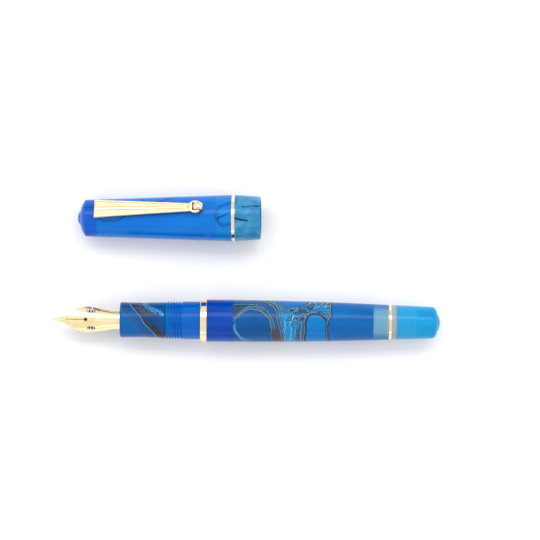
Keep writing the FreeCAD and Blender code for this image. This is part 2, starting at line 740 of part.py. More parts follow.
def make_nib_housing():
    """Sleeve that holds nib and feed together, with a nipple for the converter."""
    turned(
        "nib_housing",
        [
            ("housing_front", "housing_bore"),
            ("housing_front", "housing_radius"),
            ("housing_rear", "housing_radius"),
            ("housing_rear", "nipple_radius"),
            ("nipple_rear", "nipple_radius - fine_break"),
            ("nipple_rear", "ink_channel"),
            ("housing_rear - housing_wall", "ink_channel"),
            ("housing_rear - housing_wall", "housing_bore"),
        ],
    )


def make_converter():
    """Clear ink tube, the metal collar at its mouth and the drive neck at its rear."""
    turned(
        "converter_tube",
        [
            ("converter_front", "mouth_bore"),
            ("converter_front", "tube_radius"),
            ("converter_rear", "tube_radius"),
            ("converter_rear", "tube_bore"),
            ("converter_mouth_rear", "tube_bore"),
            ("converter_mouth_rear - mouth_step", "mouth_bore"),
        ],
    )
    turned(
        "converter_collar",
        [
            ("converter_front", "tube_radius + glue_gap"),
            ("converter_front", "band_radius"),
            ("band_rear", "band_radius"),
            ("band_rear", "tube_radius + glue_gap"),
        ],
    )
    turned(
        "drive_neck",
        [
            ("neck_front", "tube_radius + glue_gap"),
            ("neck_front", "band_radius"),
            ("neck_rear", "band_radius"),
            ("neck_rear", "neck_bore"),
            ("converter_rear + step_gap", "neck_bore"),
            ("converter_rear + step_gap", "tube_radius + glue_gap"),
        ],
    )


def make_converter_knob():
    """Hollow stem through bush and tenon, with a knurled knob on its end."""
    body = turned(
        "converter_knob",
        [
            ("stem_front", "stem_bore"),
            ("stem_front", "stem_radius"),
            ("knob_front", "stem_radius"),
            ("knob_front", "knob_radius - small_chamfer"),
            ("knob_front + small_chamfer", "knob_radius"),
            ("knob_rear - knob_chamfer", "knob_radius"),
            ("knob_rear", "knob_radius - knob_chamfer"),
            ("knob_rear", "0"),
            ("rod_rear + screw_anchor", "0"),
            ("rod_rear + screw_anchor", "screw_radius + glue_gap"),
            ("rod_rear + rod_room", "screw_radius + glue_gap"),
            ("rod_rear + rod_room", "stem_bore"),
        ],
    )
    groove = block_cut(
        body,
        "knurl_groove",
        "XY_Plane",
        "knob_radius + overshoot",
        [
            ("knob_front - chamfer", "-knurl_half"),
            ("knob_rear + chamfer", "-knurl_half"),
            ("knob_rear + chamfer", "knurl_half"),
            ("knob_front - chamfer", "knurl_half"),
        ],
        "knurl_depth + overshoot",
    )
    knurl = body.newObject("PartDesign::PolarPattern", "knurl")
    knurl.Originals = [groove]
    knurl.Axis = (origin_part(body, "X_Axis"), [""])
    knurl.Angle = 360
    knurl.setExpression("Occurrences", bound("knurl_count"))
    body.Tip = knurl


def make_drive_screw():
    """Many-start screw inside the knob's stem: turning it moves the piston rod."""
    body = turned(
        "drive_screw",
        [
            ("screw_front", "0"),
            ("screw_front", "screw_radius - small_chamfer"),
            ("screw_front + small_chamfer", "screw_radius"),
            ("rod_rear + screw_anchor - end_gap", "screw_radius"),
            ("rod_rear + screw_anchor - end_gap", "0"),
        ],
    )
    cut_thread(
        body,
        "drive_thread",
        "screw_front - screw_pitch / 2",
        "rod_rear - screw_front",
        (
            ("screw_radius - screw_groove", "screw_groove_half"),
            ("screw_radius + groove_past", "screw_mouth_half"),
        ),
        "screw_pitch",
        "screw_starts",
    )


def make_piston():
    """Two-lipped piston seal, and the hollow rod that pushes it along the ink tube."""
    turned(
        "piston_seal",
        [
            ("piston_front", "0"),
            ("piston_front", "piston_radius - chamfer"),
            ("piston_front + chamfer", "piston_radius"),
            ("piston_front + piston_lip", "piston_radius"),
            ("piston_front + piston_lip + piston_slope", "piston_waist"),
            ("piston_front + piston_length - piston_lip - piston_slope", "piston_waist"),
            ("piston_front + piston_length - piston_lip", "piston_radius"),
            ("piston_front + piston_length", "piston_radius"),
            ("piston_front + piston_length", "0"),
        ],
    )
    turned(
        "piston_rod",
        [
            ("piston_front + piston_length + seam", "0"),
            ("piston_front + piston_length + seam", "rod_radius"),
            ("rod_rear", "rod_radius"),
            ("rod_rear", "rod_bore"),
            ("screw_front - rod_ahead", "rod_bore"),
            ("screw_front - rod_ahead", "0"),
        ],
    )


# ----------------------------------------------------------------------------- pen: nib and feed

NEARLY_HALF_ROUND = 0.985
TALL = 30


def crown_at(along):
    """Height of the nib's crown over the pen's axis: level in the housing, then down to the tip."""
    ahead = max(0.0, 1 - along / size("nib_bend"))
    return size("nib_radius") - size("nib_crown_drop") * ahead ** size("crown_power")


def arc_radius_at(along):
    """Radius of the nib's cross-section: round in the housing, and flatter towards the tip."""
    ahead = max(0.0, 1 - along / size("nib_bend"))
    return size("nib_radius") + size("nib_open_radius") * ahead ** size("open_power")


def half_width_at(along):
    """Half the nib's width: hollow tines to the shoulders, then a slow narrowing to the heel."""
    shoulder, widest = size("nib_shoulder"), size("nib_shoulder_half")
    if along <= shoulder:
        part = along / shoulder
        tine = part ** size("tine_power") * (1 - part)
        hollow = tine + math.sin(part * math.pi / 2) ** size("shoulder_power") * part
        return size("nib_tip_half") + (widest - size("nib_tip_half")) * hollow
    part = min(1.0, (along - shoulder) / (size("section_front") - shoulder))
    ease = part * part * (3 - 2 * part)
    return widest + (size("nib_heel_half") - widest) * ease


def band_section(along, half_width, inner, outer):
    """A curved band across the pen at one place along it, between two offsets of the nib's arc."""
    radius = arc_radius_at(along)
    centre = crown_at(along) - radius
    spread = math.asin(min(half_width / radius, NEARLY_HALF_ROUND))

    def point(offset, angle):
        reach = radius + offset
        return FreeCAD.Vector(along, reach * math.sin(angle), centre + reach * math.cos(angle))

    def arc(offset):
        points = [point(offset, angle) for angle in (-spread, 0, spread)]
        return Part.Arc(*points).toShape()

    upper, lower = arc(outer), arc(inner)
    sides = [
        Part.LineSegment(point(outer, side * spread), point(inner, side * spread)).toShape()
        for side in (-1, 1)
    ]
    return Part.Wire([upper, sides[1], lower, sides[0]])


def band_loft(places, half_width, inner, outer):
    """A solid of straight runs between bands, close enough together to look smooth."""
    wires = [band_section(place, half_width(place), inner, outer) for place in places]
    return Part.makeLoft(wires, True, True)


def upright_block(low_x, high_x, low_y, high_y):
    """A tall block that cuts right through the nib from above."""
    corner = FreeCAD.Vector(low_x, low_y, -TALL / 2)
    return Part.makeBox(high_x - low_x, high_y - low_y, TALL, corner)


def stations(first, last):
    """Places of the cross-sections from first to last, evenly spaced."""
    count = math.ceil((last - first) / size("station_gap"))
    return [first + (last - first) * number / count for number in range(count + 1)]


def make_nib():
    """Formed sheet-metal nib, slit to a breather hole, with a slot and a cut on each side."""
    up = FreeCAD.Vector(0, 0, 1)
    places = stations(0.0, size("section_front")) + [size("nib_length")]
    sheet_band = band_loft(places, half_width_at, -size("nib_thickness"), 0)
    reach = TALL / 2
    slit_half = size("slit_width") / 2
    cutters = [
        upright_block(-size("overshoot"), size("breather_place"), -slit_half, slit_half),
        Part.makeCylinder(
            size("breather_radius"), 2 * reach, FreeCAD.Vector(size("breather_place"), 0, -reach), up
        ),
    ]
    slot_half = size("side_slot_width") / 2
    for side in (-1, 1):
        middle = side * size("side_slot_offset")
        front, rear = size("side_slot_front") + slot_half, size("side_slot_rear") - slot_half
        cutters.append(upright_block(front, rear, middle - slot_half, middle + slot_half))
        for end in (front, rear):
            base = FreeCAD.Vector(end, middle, -reach)
            cutters.append(Part.makeCylinder(slot_half, 2 * reach, base, up))
        cut_low = size("side_cut_place") - size("side_cut_width") / 2
        cut_high = cut_low + size("side_cut_width")
        sides = sorted((middle, side * reach))
        cutters.append(upright_block(cut_low, cut_high, *sides))
    nib = document.addObject("Part::Feature", "nib")
    nib.Shape = sheet_band.cut(cutters)


def make_nib_tipping():
    """Hard metal ball under the end of the tines, split by the same slit."""
    radius = size("tipping_radius")
    top = crown_at(0) - size("nib_thickness") - size("seam")
    ball = Part.makeSphere(radius, FreeCAD.Vector(radius, 0, top - size("tipping_drop")))
    above = Part.makeBox(
        radius * 4, radius * 4, radius * 4, FreeCAD.Vector(-radius * 2, -radius * 2, top)
    )
    slit_half = size("slit_width") / 2
    tipping = document.addObject("Part::Feature", "nib_tipping")
    tipping.Shape = ball.cut([above, upright_block(-radius, radius * 3, -slit_half, slit_half)])


def make_feed():
    """Feed under the nib: a round bar with a keel, pointed in front, with a comb of fins."""
    front = size("feed_front")
    rear = size("housing_rear") - size("housing_wall") - size("end_gap")
    bar_front = size("nib_shoulder") - size("feed_taper")
    radius, keel = size("feed_radius"), size("feed_keel_radius")
    ahead = FreeCAD.Vector(1, 0, 0)
    bar = Part.makeCylinder(radius, rear - bar_front, FreeCAD.Vector(bar_front, 0, 0), ahead)
    point_radius = size("feed_point_radius")
    point_height = crown_at(front) - size("nib_thickness") - point_radius
    ends = [
        Part.Circle(FreeCAD.Vector(front, 0, point_height), ahead, point_radius),
        Part.Circle(FreeCAD.Vector(bar_front, 0, 0), ahead, radius),
    ]
    point = Part.makeLoft([Part.Wire(circle.toShape()) for circle in ends], True, True)
    comb_front = size("fin_front") - size("fin_pitch")
    comb = Part.makeCylinder(
        size("comb_radius"), size("comb_length"), FreeCAD.Vector(comb_front, 0, 0), ahead
    )
    keel_front = size("feed_keel_front")
    keel_bar = Part.makeCylinder(
        keel, rear - keel_front, FreeCAD.Vector(keel_front, 0, 0), ahead
    )
    keel_room = upright_block(front, rear, -keel, keel)
    keel_room.translate(FreeCAD.Vector(0, 0, -TALL / 2 - size("feed_keel_top")))
    solid = bar.fuse([point, comb, keel_bar.common(keel_room)])
    over_nib = band_loft(
        stations(front - size("overshoot"), size("section_front")) + [rear + size("overshoot")],
        lambda along: arc_radius_at(along) * NEARLY_HALF_ROUND,
        -size("nib_thickness") - size("feed_gap"),
        radius * 2,
    )
    solid = solid.cut(over_nib)
    gaps = []
    for number in range(int(size("fin_count"))):
        place = size("fin_front") + number * size("fin_pitch")
        outer = Part.makeCylinder(keel * 3, size("fin_slot"), FreeCAD.Vector(place, 0, 0), ahead)
        core = Part.makeCylinder(
            radius - size("fin_depth"), size("fin_slot"), FreeCAD.Vector(place, 0, 0), ahead
        )
        gaps.append(outer.cut(core))
    feed = document.addObject("Part::Feature", "feed")
    feed.Shape = solid.cut(gaps).removeSplitter()


# ------------------------------------------------------------------------------------------ cap


def clip_slope():
    """Slope of the cap's side along the clip, as an angle in degrees."""
    rise = size("cap_wide_radius") - size("cap_shoulder_radius")
    return math.degrees(math.atan2(rise, size("band_front_place") - size("cap_shoulder")))


def cap_radius_at(along):
    rise = size("cap_wide_radius") - size("cap_shoulder_radius")
    run = size("band_front_place") - size("cap_shoulder")
    return size("cap_shoulder_radius") + rise * (along - size("cap_shoulder")) / run


def clip_frame():
    """From the clip's own frame to the cap's: on the cap's side, x along it and z out of it."""
    turn = FreeCAD.Rotation(FreeCAD.Vector(1, 0, 0), -size("clip_turn"))
    slope = FreeCAD.Rotation(FreeCAD.Vector(0, 1, 0), -clip_slope())
    start = FreeCAD.Vector(size("clip_start"), 0, cap_radius_at(size("clip_start")))
    about_axis = FreeCAD.Placement(FreeCAD.Vector(0, 0, 0), turn)
    return about_axis * FreeCAD.Placement(start, slope)


def make_cap_tube():
    """Cap: a slow cone with a rounded closed end, bored in steps, threaded inside its mouth."""
    body = turned(
        "cap_tube",
        [
            ("0", "0", dome_arc("cap_dome_radius", "cap_dome_height")),
            ("cap_dome_height", "cap_dome_radius", "cap_end_round"),
            ("cap_shoulder", "cap_shoulder_radius"),
            ("band_front_place", "cap_wide_radius"),
            ("band_front_place", "band_seat"),
            ("band_front_place + band_width", "band_seat"),
            ("band_front_place + band_width", "cap_wide_radius"),
            ("cap_length - mouth_round", "mouth_radius", "mouth_round"),
            ("cap_length", "mouth_radius - mouth_round"),
            ("cap_length", "mouth_bore_radius + fine_break"),
            ("cap_length - fine_break", "mouth_bore_radius"),
            ("cap_nut_rear", "mouth_bore_radius"),
            ("cap_nut_rear - chamfer", "cap_nut_bore"),
            ("cap_nut_front + small_chamfer", "cap_nut_bore"),
            ("cap_nut_front", "section_room"),
            ("section_room_front", "section_room"),
            ("section_room_front", "cap_bore"),
            ("cap_bore_front", "cap_bore"),
            ("cap_bore_front", "screw_shank + glue_gap"),
            ("screw_end - end_gap", "screw_shank + glue_gap"),
            ("screw_end - end_gap", "0"),
        ],
    )
    cut_thread(
        body,
        "cap_nut_thread",
        "cap_nut_front + nut_land_front",
        "cap_nut_rear - cap_nut_front - nut_land_front - nut_land_rear",
        (
            ("cap_nut_root", "cap_root_half"),
            (
                "cap_nut_bore - groove_past",
                "cap_root_half + (cap_nut_root - cap_nut_bore + groove_past) * flank_slope",
            ),
        ),
        "cap_thread_pitch",
        "cap_thread_starts",
    )
    cut_clip_slot(
        body,
        "clip_slot",
        "cap_wide_radius + overshoot",
        "cap_wide_radius + overshoot - cap_bore + slot_depth",
    )


def cut_clip_slot(body, name, height, depth):
    """A slot for the clip's tab, on the side of the piece that faces the clip.

    The sketch stands over the axis, turned about it to face the clip.
    """
    before = body.Shape.Volume
    sketch = new_sketch(body, name + "_outline", "XY_Plane")
    turn = FreeCAD.Rotation(FreeCAD.Vector(1, 0, 0), -size("clip_turn"))
    lift = turn.multVec(FreeCAD.Vector(0, 0, number_of(height)))
    sketch.AttachmentOffset = FreeCAD.Placement(lift, turn)
    half = "(foot_width / 2 + slot_gap)"
    front = "clip_start + foot_front - slot_gap"
    rear = "clip_start + foot_rear + slot_gap + end_gap"
    draw_outline(sketch, [(front, f"-{half}"), (rear, f"-{half}"), (rear, half), (front, half)])
    pocket = body.newObject("PartDesign::Pocket", name)
    pocket.Profile = sketch
    pocket.setExpression("Length", bound(depth))
    document.recompute()
    volume_changed(body, before, name)


def make_cap_band():
    """Gilt band set in the cap's groove."""
    turned(
        "cap_band",
        [
            ("band_front_place + seam", "band_seat + seam"),
            ("band_front_place + seam", "cap_band_radius - band_break"),
            ("band_front_place + seam + band_break", "cap_band_radius"),
            ("band_front_place + band_width - seam - band_break", "cap_band_radius"),
            ("band_front_place + band_width - seam", "cap_band_radius - band_break"),
            ("band_front_place + band_width - seam", "band_seat + seam"),
        ],
    )


def make_inner_cap():
    """Inner cap that seals on the section's lip and keeps the nib from drying."""
    turned(
        "inner_cap",
        [
            ("liner_front", "0"),
            ("liner_front", "liner_radius - liner_chamfer"),
            ("liner_front + liner_chamfer", "liner_radius"),
            ("section_room_front + step_gap", "liner_radius"),
            ("section_room_front + step_gap", "liner_rim"),
            ("liner_rear", "liner_rim"),
            ("liner_rear", "liner_bore"),
            ("liner_front + liner_wall", "liner_bore"),
            ("liner_front + liner_wall", "0"),
        ],
    )


def make_clip_retainer():
    """Plug in the end of the cap's bore that holds the clip's tab."""
    body = turned(
        "clip_retainer",
        [
            ("cap_bore_front + face_gap", "screw_shank + step_gap"),
            ("cap_bore_front + face_gap", "retainer_radius"),
            ("retainer_rear", "retainer_radius"),
            ("retainer_rear", "screw_shank + step_gap"),
        ],
    )
    cut_clip_slot(body, "tab_notch", "retainer_radius + overshoot", "overshoot + notch_depth")


def make_clip_screw():
    """Slotted screw through the retainer into the cap's solid end."""
    body = turned(
        "clip_screw",
        [
            ("screw_end", "0"),
            ("screw_end", "screw_shank - chamfer"),
            ("screw_end + chamfer", "screw_shank"),
            ("retainer_rear + face_gap", "screw_shank"),
            ("retainer_rear + face_gap", "screw_head"),
            ("retainer_rear + screw_head_height - chamfer", "screw_head"),
            ("retainer_rear + screw_head_height", "screw_head - chamfer"),
            ("retainer_rear + screw_head_height", "0"),
        ],
    )
    rear = "retainer_rear + screw_head_height"
    block_cut(
        body,
        "driver_slot",
        "XY_Plane",
        None,
        [
            (f"{rear} - driver_depth", "-screw_drive / 2"),
            (f"{rear} + overshoot", "-screw_drive / 2"),
            (f"{rear} + overshoot", "screw_drive / 2"),
            (f"{rear} - driver_depth", "screw_drive / 2"),
        ],
        "screw_head * 3",
        both_ways=True,
    )


# ------------------------------------------------------------------------------ clip and roller

SAME_HEIGHT = 0.01


def pad_outline(body, name, role, offset, corners, length, both_ways=False):
    sketch = new_sketch(body, name + "_outline", role, offset)
    draw_outline(sketch, corners)
    pad = body.newObject("PartDesign::Pad", name)
    pad.Profile = sketch
    pad.setExpression("Length", bound(length))
    pad.Midplane = both_ways
    document.recompute()
    return pad


def make_clip_arm():
    """Tapering arm with a rim and a ridge, a foot with its tab, and a forked eye for the roller."""
    body = new_body("clip_arm")
    arm = pad_outline(
        body,
        "arm",
        "XY_Plane",
        "arm_under",
        [
            ("0", "-arm_wide / 2"),
            ("arm_length + arm_tail", "-arm_narrow / 2"),
            ("arm_length + arm_tail", "arm_narrow / 2"),
            ("0", "arm_wide / 2"),
        ],
        "arm_thick",
    )
    round_upper_edges(body, arm)
    for side in ("", "-"):
        block_cut(
            body,
            "panel_left" if side else "panel_right",
            "XY_Plane",
            "arm_under + arm_thick + overshoot",
            panel_corners(side),
            "rim_depth + overshoot",
        )
    pad_outline(
        body,
        "foot",
        "XY_Plane",
        "-tab_reach",
        [
            ("foot_front", "-foot_width / 2"),
            ("foot_rear", "-foot_width / 2"),
            ("foot_rear", "foot_width / 2"),
            ("foot_front", "foot_width / 2"),
        ],
        "tab_reach + arm_under + foot_rise",
    )
    eye = new_sketch(body, "eye_outline", "XY_Plane", "eye_under")
    index = eye.addGeometry(
        Part.Circle(
            FreeCAD.Vector(size("eye_place"), 0, 0), FreeCAD.Vector(0, 0, 1), size("eye_radius")
        )
    )
    pin_down(eye, "DistanceX", (-1, 1, index, 3), "eye_place")
    pin_down(eye, "DistanceY", (-1, 1, index, 3), "0")
    pin_down(eye, "Radius", (index,), "eye_radius")
    disc = body.newObject("PartDesign::Pad", "eye")
    disc.Profile = eye
    disc.setExpression("Length", bound("eye_top - eye_under"))
    document.recompute()
    round_eye(body, disc)
    block_cut(
        body,
        "fork",
        "XY_Plane",
        "eye_top + overshoot",
        [
            ("fork_front", "-fork_gap / 2"),
            ("eye_place + eye_radius + overshoot", "-fork_gap / 2"),
            ("eye_place + eye_radius + overshoot", "fork_gap / 2"),
            ("fork_front", "fork_gap / 2"),
        ],
        "eye_top + overshoot * 3",
    )
    before = body.Shape.Volume
    hole = new_sketch(body, "axle_hole_outline", "XZ_Plane")
    index = hole.addGeometry(
        Part.Circle(
            FreeCAD.Vector(size("roller_place"), size("roller_height"), 0),
            FreeCAD.Vector(0, 0, 1),
            size("axle_radius"),
        )
    )
    pin_down(hole, "DistanceX", (-1, 1, index, 3), "roller_place")
    pin_down(hole, "DistanceY", (-1, 1, index, 3), "roller_height")
    pin_down(hole, "Radius", (index,), "axle_radius")
    drill = body.newObject("PartDesign::Pocket", "axle_hole")
    drill.Profile = hole
    drill.setExpression("Length", bound("eye_radius * 3"))
    drill.Midplane = True
    document.recompute()
    volume_changed(body, before, "axle_hole")


def panel_corners(side):
    """One of the two sunk faces of the arm: inside the rim, beside the middle ridge."""
    return [
        ("rim_width", f"{side}ridge_half"),
        ("arm_length - ridge_fade", f"{side}ridge_end_half"),
        ("arm_length - panel_fade", f"{side}(arm_narrow / 2 - rim_end_width)"),
        ("rim_width", f"{side}(arm_wide / 2 - rim_width)"),
    ]


def edges_where(feature, test):
    """Names of a feature's edges whose middle passes a test."""
    edges = enumerate(feature.Shape.Edges, start=1)
    return [f"Edge{number}" for number, edge in edges if test(edge.CenterOfMass)]


def round_upper_edges(body, arm):
    top = size("arm_under") + size("arm_thick")
    names = edges_where(arm, lambda middle: abs(middle.z - top) < SAME_HEIGHT)
    fillet = body.newObject("PartDesign::Fillet", "arm_rounding")
    fillet.Base = (arm, names)
    fillet.setExpression("Radius", bound("arm_edge"))
    document.recompute()


def round_eye(body, disc):
    """Round the eye's upper rim, which is the only full-circle run of edges at its top."""
    names = edges_where(disc, lambda middle: abs(middle.z - size("eye_top")) < SAME_HEIGHT)
    fillet = body.newObject("PartDesign::Fillet", "eye_rounding")
    fillet.Base = (disc, names)
    fillet.setExpression("Radius", bound("arm_edge"))
    document.recompute()


def make_roller():
    """Crowned roller on the clip's eye, turned about its own axle."""
    half = "(roller_width / 2 - small_chamfer)"
    rise = "(roller_radius - roller_edge - roller_break)"
    crown = f"(pow({half}; 2) + pow({rise}; 2)) / (2 * {rise})"
    turned(
        "clip_roller",
        [
            ("-roller_width / 2", "roller_bore"),
            ("-roller_width / 2", "roller_edge"),
            (f"-{half}", "roller_edge + roller_break", crown),
            (half, "roller_edge + roller_break"),
            ("roller_width / 2", "roller_edge"),
            ("roller_width / 2", "roller_bore"),
        ],
    )


def make_roller_axle():
    """Pin through the fork's cheeks."""
    turned(
        "roller_axle",
        [
            ("-axle_length / 2", "0"),
            ("-axle_length / 2", "axle_radius - seam"),
            ("axle_length / 2", "axle_radius - seam"),
            ("axle_length / 2", "0"),
        ],
    )


# ----------------------------------------------------------------------------- laying out, output


def pen_frame():
    """From the pen's own frame to the table: its widest ring just touches the table."""
    reach = size("cap_beside") + size("band_front_place") * math.sin(
        math.radians(size("cap_yaw"))
    )
    widest = size("centre_ring_radius")
    beside = (reach + size("cap_band_radius") - widest) / 2
    return FreeCAD.Placement(
        FreeCAD.Vector(-size("pen_length") / 2, -beside, widest), FreeCAD.Rotation()
    )


def cap_frame():
    """From the cap's own frame to the table: resting on its band and on its closed end's edge."""
    run = size("band_front_place") + size("band_width") / 2 - size("cap_shoulder")
    rise = size("cap_band_radius") - size("cap_shoulder_radius")
    pitch = math.degrees(math.atan2(rise, run))
    height = size("cap_shoulder_radius") / math.cos(math.radians(pitch))
    height -= size("cap_shoulder") * math.sin(math.radians(pitch))
    pen = pen_frame().Base
    place = FreeCAD.Vector(pen.x + size("cap_ahead"), pen.y + size("cap_beside"), height)
    yaw = FreeCAD.Rotation(FreeCAD.Vector(0, 0, 1), size("cap_yaw"))
    tilt = FreeCAD.Rotation(FreeCAD.Vector(0, 1, 0), -pitch)
    return FreeCAD.Placement(place, yaw.multiply(tilt))


def roller_frame():
    """From the roller's own frame to the clip's: its axle across the clip."""
    across = FreeCAD.Rotation(FreeCAD.Vector(0, 0, 1), 90)
    place = FreeCAD.Vector(size("roller_place"), 0, size("roller_height"))
    return FreeCAD.Placement(place, across)


PEN_NODES = [
    "nib",
    "nib_tipping",
    "feed",
    "nib_housing",
    "grip_section",
    "section_seal",
    "front_sleeve",
    "centre_ring",
    "barrel_collar",
    "barrel",
    "tail_bush",
    "tail_ring",
    "blind_cap",
    "converter_tube",
    "converter_collar",
    "drive_neck",
    "converter_knob",
    "drive_screw",
    "piston_seal",
    "piston_rod",
]
CAP_NODES = ["cap_tube", "cap_band", "inner_cap", "clip_retainer", "clip_screw"]
CLIP_NODES = ["clip_arm"]
ROLLER_NODES = ["clip_roller", "roller_axle"]


def lay_out():
    cap = cap_frame()
    clip = cap * clip_frame()
    frames = [
        (PEN_NODES, pen_frame()),
        (CAP_NODES, cap),
        (CLIP_NODES, clip),
        (ROLLER_NODES, clip * roller_frame()),
    ]
    for labels, frame in frames:
        for label in labels:
            document.getObject(label).Placement = frame
    document.recompute()
    return [label for labels, _ in frames for label in labels]


def check_document(labels):
    """Stop if any object failed, or any sub-part is null, invalid or in several pieces."""
    for item in document.Objects:
        bad = [state for state in item.State if "Invalid" in state or "Error" in state]
        if bad:
            raise RuntimeError(f"{item.Name} is {bad}")
    for label in labels:
        shape = document.getObject(label).Shape
        if shape.isNull() or not shape.isValid():
            raise RuntimeError(f"{label} has no valid shape")
        print(f"{label}: {len(shape.Solids)} solid, {shape.Volume:.2f} mm3")


def main():
    make_grip_section()
    make_section_seal()
    make_front_sleeve()
    make_centre_ring()
    make_barrel_collar()
    make_barrel()
    make_tail_bush()
    make_tail_ring()
    make_blind_cap()
    make_nib_housing()
    make_converter()
    make_converter_knob()
    make_drive_screw()
    make_piston()
    make_nib()
    make_nib_tipping()
    make_feed()
    make_cap_tube()
    make_cap_band()
    make_inner_cap()
    make_clip_retainer()
    make_clip_screw()
    make_clip_arm()
    make_roller()
    make_roller_axle()
    labels = lay_out()
    check_document(labels)
    os.makedirs("parts", exist_ok=True)
    for label in labels:
        document.getObject(label).Shape.exportStep(f"parts/{label}.step")


main()
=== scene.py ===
"""Looks of the fountain pen and its cap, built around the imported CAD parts. Metres, in the frame's axes."""

import json
import math

import bmesh
import bpy
import numpy as np
from mathutils import Matrix, Vector
from mathutils.bvhtree import BVHTree


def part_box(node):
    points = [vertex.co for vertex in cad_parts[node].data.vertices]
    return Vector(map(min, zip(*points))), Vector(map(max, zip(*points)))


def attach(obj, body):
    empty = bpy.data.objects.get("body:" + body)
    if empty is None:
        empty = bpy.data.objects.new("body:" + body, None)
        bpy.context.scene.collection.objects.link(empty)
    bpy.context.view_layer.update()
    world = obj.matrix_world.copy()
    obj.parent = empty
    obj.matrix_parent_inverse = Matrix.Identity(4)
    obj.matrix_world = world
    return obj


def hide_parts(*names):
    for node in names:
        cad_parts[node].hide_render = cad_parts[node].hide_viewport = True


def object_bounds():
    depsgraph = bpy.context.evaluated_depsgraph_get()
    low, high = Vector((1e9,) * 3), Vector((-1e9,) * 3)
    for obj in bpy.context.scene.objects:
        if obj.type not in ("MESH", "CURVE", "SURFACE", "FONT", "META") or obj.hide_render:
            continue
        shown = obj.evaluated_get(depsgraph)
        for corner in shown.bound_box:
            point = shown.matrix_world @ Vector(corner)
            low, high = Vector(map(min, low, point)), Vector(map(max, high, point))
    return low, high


MM = 0.001

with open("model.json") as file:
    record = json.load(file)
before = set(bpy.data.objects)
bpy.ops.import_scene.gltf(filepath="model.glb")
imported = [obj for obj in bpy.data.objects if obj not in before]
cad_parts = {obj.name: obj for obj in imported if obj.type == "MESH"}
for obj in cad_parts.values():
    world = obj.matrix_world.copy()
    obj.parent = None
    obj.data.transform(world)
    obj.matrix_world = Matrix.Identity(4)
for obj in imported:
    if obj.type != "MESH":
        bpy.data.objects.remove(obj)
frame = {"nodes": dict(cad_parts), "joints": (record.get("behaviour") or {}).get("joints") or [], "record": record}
cad_low, cad_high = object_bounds()
NODES = frame["nodes"]


def middle_of(node):
    low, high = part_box(node)
    return (low + high) / 2


def places_of(node):
    """Every vertex of a CAD node."""
    return np.array([vertex.co for vertex in NODES[node].data.vertices])


def frame_at(start, along, across):
    """From millimetres in a piece's own frame to the world: x along its axis, y as near across as can be."""
    across = (across - along * across.dot(along)).normalized()
    axes = Matrix((along, across, along.cross(across))).transposed().to_4x4()
    return Matrix.Translation(start) @ axes @ Matrix.Scale(MM, 4)


def turning_axis(ring):
    """Middle and axis of a short turned ring, pointing along +X."""
    places = places_of(ring)
    spread = np.linalg.eigh(np.cov((places - places.mean(0)).T))[1]
    axis = Vector(spread[:, 0])
    return middle_of(ring), axis if axis.x > 0 else -axis


# Millimetres in the pen's own frame, from the nib's tip, and in the cap's, from its closed end.
PEN_START = Vector((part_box("nib")[0].x, middle_of("centre_ring").y, middle_of("centre_ring").z))
PEN = frame_at(PEN_START, Vector((1, 0, 0)), Vector((0, 1, 0)))
BAND_MIDDLE, CAP_AXIS = turning_axis("cap_band")
CAP_END = min((Vector(place) - BAND_MIDDLE).dot(CAP_AXIS) for place in places_of("cap_tube"))
CAP_START = BAND_MIDDLE + CAP_AXIS * CAP_END
CLIP_ACROSS = Vector(next(j["axis"] for j in frame["joints"] if j["name"] == "roller_spin"))
CAP = frame_at(CAP_START, CAP_AXIS, CLIP_ACROSS)


def front_of(node):
    return (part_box(node)[0].x - PEN_START.x) / MM


def rear_of(node):
    return (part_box(node)[1].x - PEN_START.x) / MM


def radius_of(node):
    """Largest radius of a turned piece of the pen."""
    low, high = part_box(node)
    return (high.y - low.y) / 2 / MM


COLLAR_REAR = rear_of("barrel_collar")
BUSH_PITCH = 0.8
BLIND_PITCH = 0.8
CAP_BAND = -CAP_END / MM


# ------------------------------------------------------------------------------ camera and stage

VIEW_WIDTH = 180 * MM
VIEW_MIDDLE = (7.9 * MM, -0.4 * MM)
VIEW_DISTANCE = 1200 * MM
VIEW_TURN = math.radians(0.56)
SENSOR = 36.0
FLOOR_SIZE = 6.0
FLOOR_DROP = 0.02 * MM
SKY_STRENGTH = 0.93
BOX_DISTANCE = 1.1


def make_camera():
    camera = bpy.data.objects.new("camera", bpy.data.cameras.new("camera"))
    bpy.context.scene.collection.objects.link(camera)
    camera.location = (*VIEW_MIDDLE, PEN_START.z + VIEW_DISTANCE)
    camera.rotation_euler = (0, 0, VIEW_TURN)
    camera.data.sensor_width = SENSOR
    camera.data.lens = SENSOR * VIEW_DISTANCE / VIEW_WIDTH
    camera.data.clip_start = 0.01
    camera.data.clip_end = 100
    bpy.context.scene.camera = camera


def soft_box(name, length, depth, brightness, about_x, about_y=0.0):
    """A large light facing the pen, tipped from straight above: about_x towards +Y, about_y to +X."""
    light = bpy.data.lights.new(name, "AREA")
    light.shape = "RECTANGLE"
    light.size, light.size_y = length, depth
    light.energy = brightness * math.pi * length * depth
    lamp = bpy.data.objects.new(name, light)
    bpy.context.scene.collection.objects.link(lamp)
    turn = Matrix.Rotation(math.radians(about_y), 3, "Y") @ Matrix.Rotation(
        math.radians(-about_x), 3, "X"
    )
    lamp.matrix_world = turn.to_4x4()
    lamp.location = turn @ Vector((0, 0, BOX_DISTANCE))


